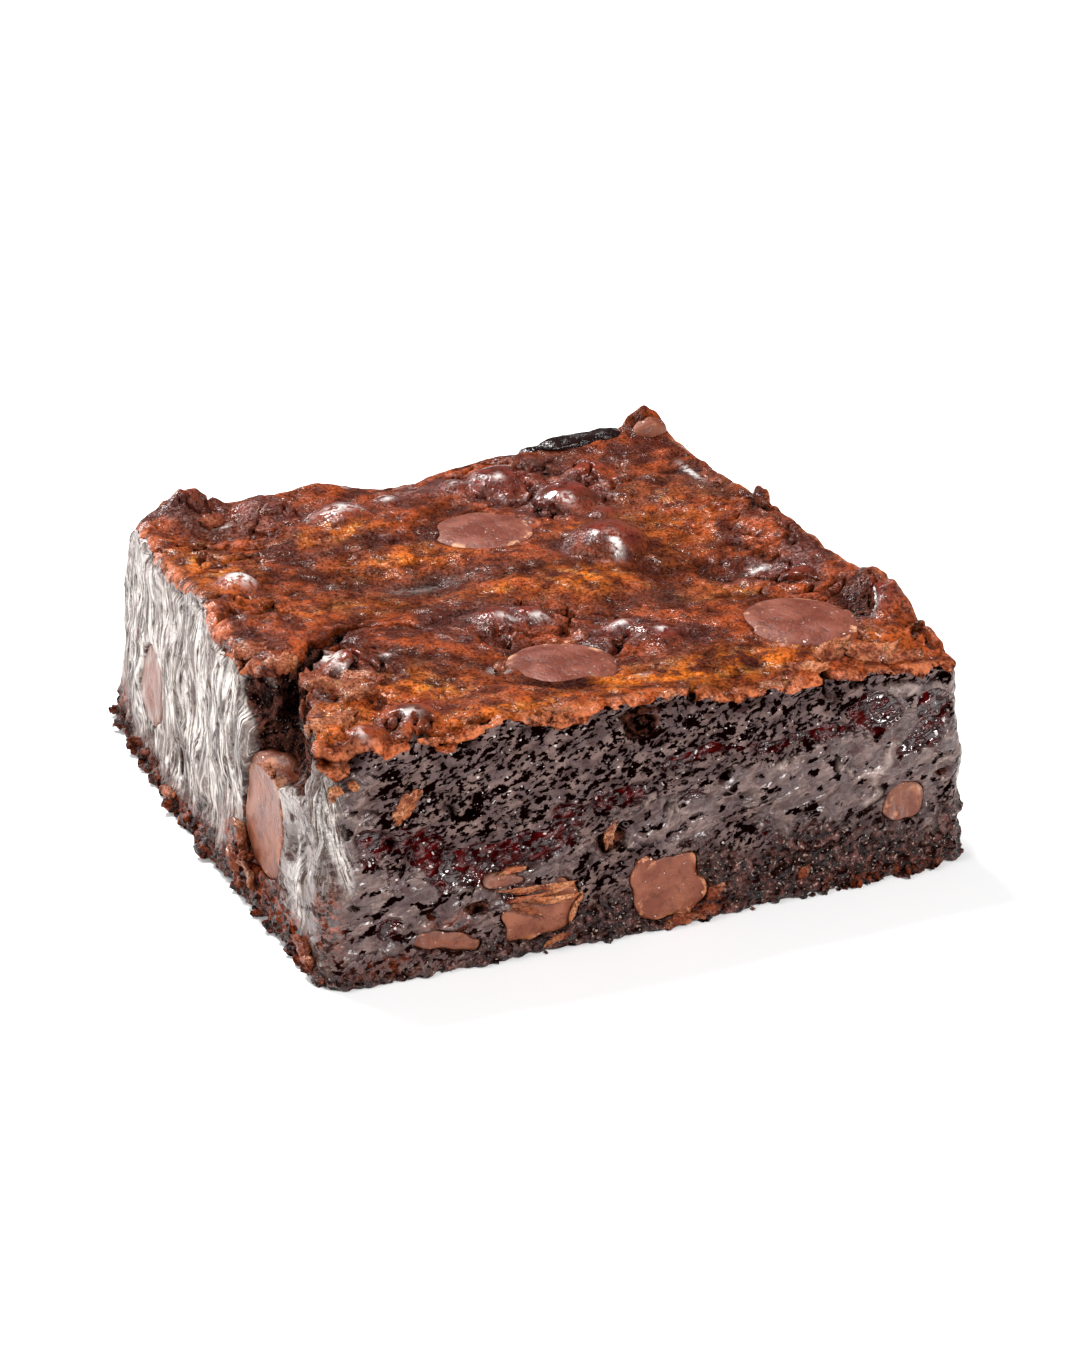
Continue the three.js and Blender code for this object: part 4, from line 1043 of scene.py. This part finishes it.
for number, ((x, y, off), half, turn) in enumerate(scrapForm["melted"]):
    points, triangles = scrap(980 + number, half, 0, 0.05, 15, 30)
    scraps.append((standing(points, "top", placeOn("top", x, y, off - 0.4), turn, 0), triangles,
                   {"rim": 0, "veil": 0}))
melted = joined("melted_edge", scraps)


# Materials
def linear(hexColour, alpha=1.0):
    # sRGB hex to the linear numbers that the shaders take.
    parts = [int(hexColour[k:k + 2], 16) / 255 for k in (1, 3, 5)]
    return (*[p / 12.92 if p <= 0.04045 else ((p + 0.055) / 1.055) ** 2.4 for p in parts], alpha)


def addNode(tree, kind, inputs=None, output=0, **settings):
    # Adds a node with its settings and links, and gives back one of its outputs.
    node = tree.nodes.new(kind)
    for name, value in settings.items():
        setattr(node, name, value)
    for name, value in (inputs or {}).items():
        if isinstance(value, bpy.types.NodeSocket):
            tree.links.new(value, node.inputs[name])
        else:
            node.inputs[name].default_value = value
    return node.outputs[output] if node.outputs else node


def newMaterial(name):
    # An empty material and its tree of nodes.
    material = bpy.data.materials.new(name)
    material.use_nodes = True
    material.node_tree.nodes.clear()
    return material, material.node_tree


def masksOf(tree, place, masks):
    # Noise turned into masks from 0 to 1: size of a lump in mm, detail, roughness, stretch upwards, and the
    # noise that gives 0 and that gives 1.
    made = {}
    for name, (size, detail, roughness, stretch, lowEnd, highEnd) in masks.items():
        spread = addNode(tree, "ShaderNodeVectorMath", {0: place, 1: (1, 1, 1 / stretch)}, operation="MULTIPLY")
        noise = addNode(tree, "ShaderNodeTexNoise", {
            "Vector": spread, "Scale": 1 / (size * mm), "Detail": detail, "Roughness": roughness})
        made[name] = addNode(tree, "ShaderNodeMapRange",
                             {"Value": noise, "From Min": lowEnd, "From Max": highEnd})
    return made


def layered(tree, shade, layers):
    # Lays colours over each other, each as strong as the product of its masks.
    for masks, amount, colour in layers:
        share = masks[0]
        for mask in masks[1:]:
            share = addNode(tree, "ShaderNodeMath", {0: share, 1: mask}, operation="MULTIPLY")
        share = addNode(tree, "ShaderNodeMath", {0: share, 1: amount}, operation="MULTIPLY", use_clamp=True)
        shade = addNode(tree, "ShaderNodeMix", {0: share, 6: shade, 7: colour}, 2, data_type="RGBA")
    return shade


def summed(tree, start, terms):
    # Adds up products of a mask and a number.
    total = start
    for mask, amount in terms:
        total = addNode(tree, "ShaderNodeMath", {0: mask, 1: amount, 2: total}, operation="MULTIPLY_ADD")
    return total


# colours of the crumb: the pit colours are painted shade, the sparkle and speck colours are painted sparkles,
# and the thread colour is pale fat partly painted sheen
bakedCrumb = {
    "film": "#402624", "filmPale": "#694f48", "pit": "#040000", "pitRed": "#080101", "ridge": "#9a847c",
    "melt": "#220102", "meltLight": "#560b0a", "thread": "#ece3dc", "threadFilm": "#64534c", "gap": "#1c0d0a",
    "grain": "#140504", "grainLight": "#6e4842", "inner": "#7a4434", "speck": "#b39c90", "sparkle": "#c9bdb8",
    "rust": "#82391f", "rustDark": "#240805"}


def fudgeCrumb():
    # Moist baked fudge, cut with a blade that dragged: a grey film, pits painted near black as shade, dark red
    # melted streaks with painted sparkles, pale strands down the left side partly painted sheen, and coarse
    # dark crumbs with painted sparkle specks.
    material, tree = newMaterial("moist fudge crumb")
    colour = {name: linear(value) for name, value in bakedCrumb.items()}
    place = addNode(tree, "ShaderNodeTexCoord", output="Object")
    zone = {name: addNode(tree, "ShaderNodeAttribute", output="Fac", attribute_name=name) for name in (
        "film", "melt", "dark", "coarse", "strand", "flow", "ridge", "deep", "rust")}
    # the blade dragged the film and the pits up to the right
    tilted = addNode(tree, "ShaderNodeVectorRotate", {"Vector": place, "Axis": (0, 1, 0), "Angle": 0.32})
    mask = masksOf(tree, tilted, {
        "mottle": (2.6, 2, 0.45, 0.6, 0.46, 0.62), "pit": (0.8, 4, 0.6, 0.55, 0.475, 0.45),
        "swell": (3.4, 0.8, 0.4, 0.6, 0, 1),
        "hollow": (1.9, 4, 0.55, 0.6, 0.415, 0.4),
        "sparkle": (0.5, 1, 0.5, 1, 0.735, 0.75), "speck": (0.34, 1, 0.5, 1, 0.65, 0.69),
        "grain": (0.9, 3, 0.6, 1, 0.44, 0.6), "lobes": (1.3, 1.5, 0.45, 0.8, 0.45, 0.62),
        "gaps": (2.4, 4, 0.6, 3, 0.5, 0.58), "glint": (0.6, 1, 0.5, 1, 0.69, 0.71),
        "tiny": (0.35, 3, 0.65, 1, 0.3, 0.7), "bands": (3.4, 4, 0.6, 4, 0.42, 0.6)})
    # the strands follow the lean that is painted on the piece
    height = addNode(tree, "ShaderNodeSeparateXYZ", {0: place}, output="Z")
    along = addNode(tree, "ShaderNodeMath", {0: zone["flow"], 1: mm}, operation="MULTIPLY")
    drawn = addNode(tree, "ShaderNodeCombineXYZ", {"X": along, "Z": height})
    threads = []
    for source, size, stretch, wander, width in (
            (drawn, 1.5, 5, 1, 0.075), (drawn, 0.6, 4, 1.1, 0.07), (tilted, 6.5, 0.5, 1, 0.012)):
        spread = addNode(tree, "ShaderNodeVectorMath", {0: source, 1: (1, 1, 1 / stretch)},
                         operation="MULTIPLY")
        noise = addNode(tree, "ShaderNodeTexNoise", {
            "Vector": spread, "Scale": 1 / (size * mm), "Detail": 2, "Roughness": 0.5, "Distortion": wander})
        fromMiddle = addNode(tree, "ShaderNodeMath", {0: noise, 1: 0.5}, operation="SUBTRACT")
        away = addNode(tree, "ShaderNodeMath", {0: fromMiddle}, operation="ABSOLUTE")
        threads.append(addNode(tree, "ShaderNodeMapRange", {
            "Value": away, "From Min": width, "From Max": 0.0}))
    thread = addNode(tree, "ShaderNodeMath", {0: threads[0], 1: threads[1]}, operation="MAXIMUM")
    porous = addNode(tree, "ShaderNodeMapRange",
                     {"Value": zone["film"], "From Min": 1, "From Max": 0, "To Min": 0.12})
    pitHere = addNode(tree, "ShaderNodeMath", {0: mask["pit"], 1: porous}, operation="MULTIPLY")
    bare = addNode(tree, "ShaderNodeMapRange", {"Value": zone["strand"], "From Min": 0.5, "From Max": 0})
    shade = layered(tree, colour["film"], (
        ((mask["mottle"],), 0.8, colour["filmPale"]),
        # pits and hollows painted red-black: painted shade
        ((pitHere, bare), 1, colour["pitRed"]),
        ((mask["hollow"], bare), 1, colour["pitRed"]),
        # painted sparkles on the porous crumb
        ((mask["sparkle"], bare, porous), 0.9, colour["sparkle"]),
        ((zone["ridge"],), 0.8, colour["ridge"]),
        ((zone["film"], threads[2]), 0.45, colour["ridge"]),
        ((zone["coarse"],), 1, colour["grain"]),
        ((zone["coarse"], mask["grain"]), 0.8, colour["grainLight"]),
        # specks painted as sparkles on the coarse crumb
        ((zone["coarse"], mask["speck"]), 0.9, colour["speck"]),
        ((zone["melt"],), 0.95, colour["melt"]),
        ((zone["melt"], mask["lobes"]), 0.6, colour["meltLight"]),
        # painted sparkles on the melted streaks
        ((zone["melt"], mask["glint"]), 0.85, colour["sparkle"]),
        # the dark map: painted shade in the pits, the holes and under the crust's lip
        ((zone["dark"],), 1, colour["pit"]),
        # the strands: pale fat drawn down the face, their whiteness partly painted sheen
        ((zone["strand"],), 1.1, colour["threadFilm"]),
        ((zone["strand"], mask["gaps"]), 0.6, colour["gap"]),
        ((zone["strand"], thread, mask["bands"]), 0.8, colour["thread"]),
        ((zone["strand"], threads[0]), 0.5, colour["thread"]),
        ((zone["rust"],), 1, colour["rustDark"]),
        ((zone["rust"], mask["grain"]), 1.3, colour["rust"]),
        # in the hollows: lumps, then painted shade over them
        ((zone["deep"], mask["grain"]), 0.7, colour["inner"]),
        ((zone["deep"],), 0.3, colour["pit"])))
    # no light is mirrored out of the pits, and most of it off the melted lumps
    holes = summed(tree, 0.0, ((pitHere, 1.0), (mask["hollow"], 1.0), (zone["dark"], 1.0),
                               (zone["deep"], 0.85)))
    lit = addNode(tree, "ShaderNodeMath", {0: 1.0, 1: holes}, operation="SUBTRACT", use_clamp=True)
    lobe = addNode(tree, "ShaderNodeMath", {0: zone["melt"], 1: mask["lobes"]}, operation="MULTIPLY")
    curl = addNode(tree, "ShaderNodeMath", {0: zone["film"], 1: threads[2]}, operation="MULTIPLY")
    strung = addNode(tree, "ShaderNodeMath", {0: zone["strand"], 1: thread}, operation="MULTIPLY")
    finest = addNode(tree, "ShaderNodeMath", {0: mask["tiny"], 1: porous}, operation="MULTIPLY")
    grainy = addNode(tree, "ShaderNodeMath", {0: zone["coarse"], 1: mask["grain"]}, operation="MULTIPLY")
    relief = summed(tree, 0.0, (
        (pitHere, -0.4), (mask["hollow"], -0.7), (mask["mottle"], 0.22), (mask["swell"], 1.6), (finest, 0.1),
        (grainy, 0.5), (strung, 0.09), (curl, 0.16), (lobe, 0.25)))
    normal = addNode(tree, "ShaderNodeBump", {"Strength": 1, "Distance": mm, "Height": relief})
    rough = summed(tree, 0.38, ((zone["melt"], -0.2), (zone["film"], -0.06), (zone["strand"], 0.2),
                                (zone["coarse"], 0.1), (holes, 0.3)))
    sparkle = addNode(tree, "ShaderNodeMath", {0: zone["melt"], 1: mask["glint"]}, operation="MULTIPLY")
    gloss = summed(tree, 0.62, ((zone["melt"], 0.1), (sparkle, 0.6), (zone["film"], 0.25),
                                (zone["strand"], -0.5), (zone["coarse"], -0.15)))
    shine = addNode(tree, "ShaderNodeMath", {0: gloss, 1: lit}, operation="MULTIPLY")
    shader = addNode(tree, "ShaderNodeBsdfPrincipled",
                     {"Base Color": shade, "Roughness": rough, "IOR": 1.46, "Specular IOR Level": shine,
                      "Normal": normal})
    addNode(tree, "ShaderNodeOutputMaterial", {"Surface": shader})
    return material


# the crease colour is the dark grain and also painted shade in the valleys; the deep colour is painted shade,
# near black, in cracks and under the lip; the near white one is a painted highlight
bakedCrust = {
    "brown": "#481809", "sienna": "#94401a", "orange": "#ca6616", "amber": "#d48a38", "wet": "#260706",
    "wetRed": "#7c3026", "dull": "#4e3028", "glareWhite": "#d8cfcb", "crease": "#160302", "edge": "#bd6a44",
    "deep": "#040000"}
flakedCrust = {
    **bakedCrust, "brown": "#642a1a", "sienna": "#96553c", "orange": "#a8623e", "amber": "#cf9868",
    "wet": "#2a0705", "wetRed": "#6c2016", "dull": "#664030", "crease": "#3a1208", "edge": "#c98a60"}


def crackledCrust(name, palette):
    # Sugar crust that dried in the oven: leathery orange-brown with a dark grain, redder and glossy over the
    # buried chocolate, paler and flaky at its broken rim, with painted shade in its valleys and cracks and
    # painted white highlights.
    material, tree = newMaterial(name)
    colour = {name: linear(value) for name, value in palette.items()}
    place = addNode(tree, "ShaderNodeTexCoord", output="Object")
    zone = {name: addNode(tree, "ShaderNodeAttribute", output="Fac", attribute_name=name) for name in (
        "glow", "wet", "dull", "paintedGlare", "valley", "rimEdge", "deep", "pebble", "dome")}
    mask = masksOf(tree, place, {
        "broad": (5.4, 6, 0.58, 1, 0.42, 0.57), "warm": (3, 4, 0.55, 1, 0.4, 0.56),
        "amber": (1.8, 4, 0.55, 1, 0.54, 0.68),
        "grain": (0.36, 3, 0.65, 1, 0.52, 0.6), "blotch": (2.8, 4, 0.55, 1, 0.48, 0.6),
        "red": (1.2, 4, 0.6, 1, 0.42, 0.6),
        "flaky": (1.6, 6, 0.7, 1, 0.46, 0.56), "glint": (1.8, 4, 0.6, 1, 0.52, 0.58),
        "tiny": (0.3, 2, 0.5, 1, 0.2, 0.8),
        "leather": (1.5, 3, 0.5, 1, 0, 1), "swell": (4.2, 2, 0.4, 1, 0, 1),
        "glareWhite": (1, 4, 0.65, 1, 0.42, 0.54)})
    shade = layered(tree, colour["brown"], (
        ((mask["broad"],), 1, colour["sienna"]),
        ((zone["glow"], mask["warm"]), 1, colour["orange"]),
        ((zone["glow"], mask["amber"]), 0.7, colour["amber"]),
        ((zone["dull"],), 0.75, colour["dull"]),
        ((zone["wet"],), 0.85, colour["wet"]),
        ((zone["dome"],), 0.5, colour["wetRed"]),
        ((zone["wet"], mask["red"]), 0.8, colour["wetRed"]),
        ((mask["blotch"],), 0.8, colour["brown"]),
        ((mask["grain"],), 0.6, colour["crease"]),
        # painted shade in the valleys of the relief
        ((zone["valley"],), 0.7, colour["crease"]),
        ((zone["rimEdge"], mask["flaky"]), 0.8, colour["edge"]),
        # painted highlight: white glare on the sugar film
        ((zone["paintedGlare"], mask["glareWhite"]), 1, colour["glareWhite"]),
        # painted shade, near black, down in cracks and under the lip
        ((zone["deep"],), 1, colour["deep"])))
    relief = summed(tree, 0.0, ((mask["leather"], 0.4), (mask["swell"], 1.5), (mask["grain"], -0.1),
                                (mask["tiny"], 0.1)))
    strength = addNode(tree, "ShaderNodeMapRange", {"Value": zone["dome"], "To Min": 1.0, "To Max": 0.08})
    normal = addNode(tree, "ShaderNodeBump", {"Strength": strength, "Distance": mm, "Height": relief})
    rough = summed(tree, 0.46, ((mask["glint"], -0.26), (zone["wet"], -0.08), (zone["dome"], -0.3),
                                (zone["deep"], 0.3)))
    gloss = summed(tree, 0.09, ((zone["wet"], 0.35), (mask["glint"], 0.42), (zone["pebble"], 0.3),
                                (zone["dome"], 0.25)))
    holes = summed(tree, 0.0, ((mask["grain"], 0.6), (zone["deep"], 1.0), (zone["valley"], 0.5)))
    lit = addNode(tree, "ShaderNodeMath", {0: 1.0, 1: holes}, operation="SUBTRACT", use_clamp=True)
    shine = addNode(tree, "ShaderNodeMath", {0: gloss, 1: lit}, operation="MULTIPLY")
    shader = addNode(tree, "ShaderNodeBsdfPrincipled",
                     {"Base Color": shade, "Roughness": rough, "IOR": 1.46, "Specular IOR Level": shine,
                      "Normal": normal})
    addNode(tree, "ShaderNodeOutputMaterial", {"Surface": shader})
    return material


# body, its pale and dark clouds, the ragged rim, specks partly bloom and partly painted glints, crumb drawn
# over it, and strands partly painted sheen
milkChocolate = {"body": "#6a3320", "pale": "#885038", "dark": "#45190d", "rim": "#c0805a", "bloomAndGlint": "#e8cdbd",
                 "veil": "#54352c", "strand": "#d9cbc2"}
# the discs browned in the oven, so they are a little darker than the cut pieces
bakedChocolate = {**milkChocolate, "body": "#5f2a1b", "pale": "#784031", "rim": "#d09a74"}
# black chocolate: its bluish grey specks are painted glints
meltedChocolate = {"body": "#120504", "pale": "#1e0b08", "dark": "#080202", "rim": "#2a110c",
                   "bloomAndGlint": "#9aa0ad",
                   "veil": "#2a1512", "strand": "#6b5a54"}


def tempered(name, palette, roughness):
    # Milk chocolate that softened in the oven and set again: smooth, half matt, with a browned ragged rim.
    material, tree = newMaterial(name)
    colour = {name: linear(value) for name, value in palette.items()}
    place = addNode(tree, "ShaderNodeTexCoord", output="Object")
    rim, veil = (
        addNode(tree, "ShaderNodeAttribute", output="Fac", attribute_name=key) for key in ("rim", "veil"))
    mask = masksOf(tree, place, {
        "soft": (3, 4, 0.55, 1, 0.38, 0.62), "blotch": (1, 5, 0.65, 1, 0.52, 0.68),
        "flaky": (2.4, 6, 0.7, 1, 0.53, 0.57),
        "bloomAndGlint": (0.5, 2, 0.5, 1, 0.7, 0.73), "tiny": (0.3, 3, 0.6, 1, 0.2, 0.8),
        "drawn": (0.6, 3, 0.6, 6, 0.46, 0.6), "scratch": (0.5, 2, 0.5, 0.2, 0.6, 0.7)})
    shade = layered(tree, colour["body"], (
        ((mask["soft"],), 0.9, colour["pale"]), ((mask["blotch"],), 0.6, colour["dark"]),
        ((mask["bloomAndGlint"],), 0.5, colour["bloomAndGlint"]), ((rim, mask["flaky"]), 0.8, colour["rim"]),
        # white specks along the rim are painted glints
        ((mask["scratch"],), 0.25, colour["dark"]), ((rim, mask["bloomAndGlint"]), 0.9, colour["bloomAndGlint"]),
        ((veil,), 0.45, colour["veil"]), ((veil, mask["soft"]), 0.6, colour["veil"]),
        # strands drawn over the veiled chips, their whiteness partly painted sheen
        ((veil, veil, mask["drawn"]), 0.25, colour["strand"])))
    relief = summed(tree, 0.0, ((mask["soft"], 0.12), (mask["tiny"], 0.03), (mask["blotch"], -0.04)))
    normal = addNode(tree, "ShaderNodeBump", {"Strength": 1, "Distance": mm, "Height": relief})
    rough = summed(tree, roughness, ((mask["soft"], 0.14), (rim, 0.2)))
    shader = addNode(tree, "ShaderNodeBsdfPrincipled",
                     {"Base Color": shade, "Roughness": rough, "IOR": 1.5, "Specular IOR Level": 0.32,
                      "Normal": normal})
    addNode(tree, "ShaderNodeOutputMaterial", {"Surface": shader})
    return material


print("making the materials")
crumb.data.materials.append(fudgeCrumb())
crust.data.materials.append(crackledCrust("crackled sugar crust", bakedCrust))
flakes.data.materials.append(crackledCrust("flaked sugar crust", flakedCrust))
melted.data.materials.append(tempered("melted dark chocolate", meltedChocolate, 0.08))
chocolateFinish = tempered("milk chocolate", milkChocolate, 0.3)
crumbs.data.materials.append(crumb.data.materials[0])
for piece in (crumb, crust, flakes, crumbs, melted):
    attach(piece, "root")
    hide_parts("brownie")
discFinish = tempered("baked milk chocolate", bakedChocolate, 0.34)
for piece, node in chocolates:
    piece.data.materials.append(discFinish if node.startswith("disc") else chocolateFinish)
    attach(piece, "root")
    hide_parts(node)


# Table, light and camera
def pointAt(thing, place, target):
    # Puts a light or a camera in its place and turns it towards a target.
    thing.location = place
    away = [p - t for p, t in zip(place, target)]
    flat = math.hypot(away[0], away[1])
    thing.rotation_euler = (math.atan2(flat, away[2]), 0, math.atan2(away[0], -away[1]))


studio = {"tableSize": 3.0, "tableColour": "#fcfcfc", "skyColour": "#ffffff", "skyStrength": 0.18}  # size in m
print("setting the table")
tableMesh = bpy.data.meshes.new("table")
half = studio["tableSize"] / 2
tableMesh.from_pydata([(-half, -half, 0), (half, -half, 0), (half, half, 0), (-half, half, 0)], [],
                      [(0, 1, 2, 3)])
table = bpy.data.objects.new("table", tableMesh)
bpy.context.collection.objects.link(table)
tableMaterial, tree = newMaterial("white table")
shader = addNode(tree, "ShaderNodeBsdfPrincipled",
                 {"Base Color": linear(studio["tableColour"]), "Roughness": 0.6})
addNode(tree, "ShaderNodeOutputMaterial", {"Surface": shader})
tableMesh.materials.append(tableMaterial)

world = bpy.data.worlds.new("soft studio")
world.use_nodes = True
world.node_tree.nodes["Background"].inputs["Color"].default_value = linear(studio["skyColour"])
world.node_tree.nodes["Background"].inputs["Strength"].default_value = studio["skyStrength"]
bpy.context.scene.world = world

# name, place and target in m, width and height in m, watts
for name, place, target, size, watts in (
        ("window behind", (-0.10, 0.34, 0.60), (0, 0, 0.015), (0.18, 0.18), 7.4),
        ("low window", (-0.24, 0.50, 0.16), (0, 0, 0.015), (0.26, 0.16), 2.2),
        ("left fill", (-0.50, -0.20, 0.35), (0, 0, 0.015), (0.30, 0.30), 1.65),
        ("front fill", (0.14, -0.62, 0.46), (0, -0.03, 0.01), (0.16, 0.16), 6)):
    light = bpy.data.lights.new(name, "AREA")
    light.shape = "RECTANGLE"
    light.size, light.size_y = size
    light.energy = watts
    lamp = bpy.data.objects.new(name, light)
    bpy.context.collection.objects.link(lamp)
    pointAt(lamp, place, target)

# target and distance in m, angles in degrees, focal length in mm for a sensor 36 mm high
view = {"target": (0.0027, -0.0012, 0.013), "azimuth": -23.3, "elevation": 23.4, "distance": 0.2985,
        "focal": 2700 / 1352 * 36}
camera = bpy.data.objects.new("camera", bpy.data.cameras.new("camera"))
bpy.context.collection.objects.link(camera)
azimuth, elevation = math.radians(view["azimuth"]), math.radians(view["elevation"])
pointAt(camera, (view["target"][0] + view["distance"] * math.sin(azimuth) * math.cos(elevation),
                 view["target"][1] - view["distance"] * math.cos(azimuth) * math.cos(elevation),
                 view["target"][2] + view["distance"] * math.sin(elevation)), view["target"])
camera.data.sensor_width = 36
camera.data.lens = view["focal"]
camera.data.clip_start = 0.01
bpy.context.scene.camera = camera
bpy.context.scene.view_settings.view_transform = "Standard"
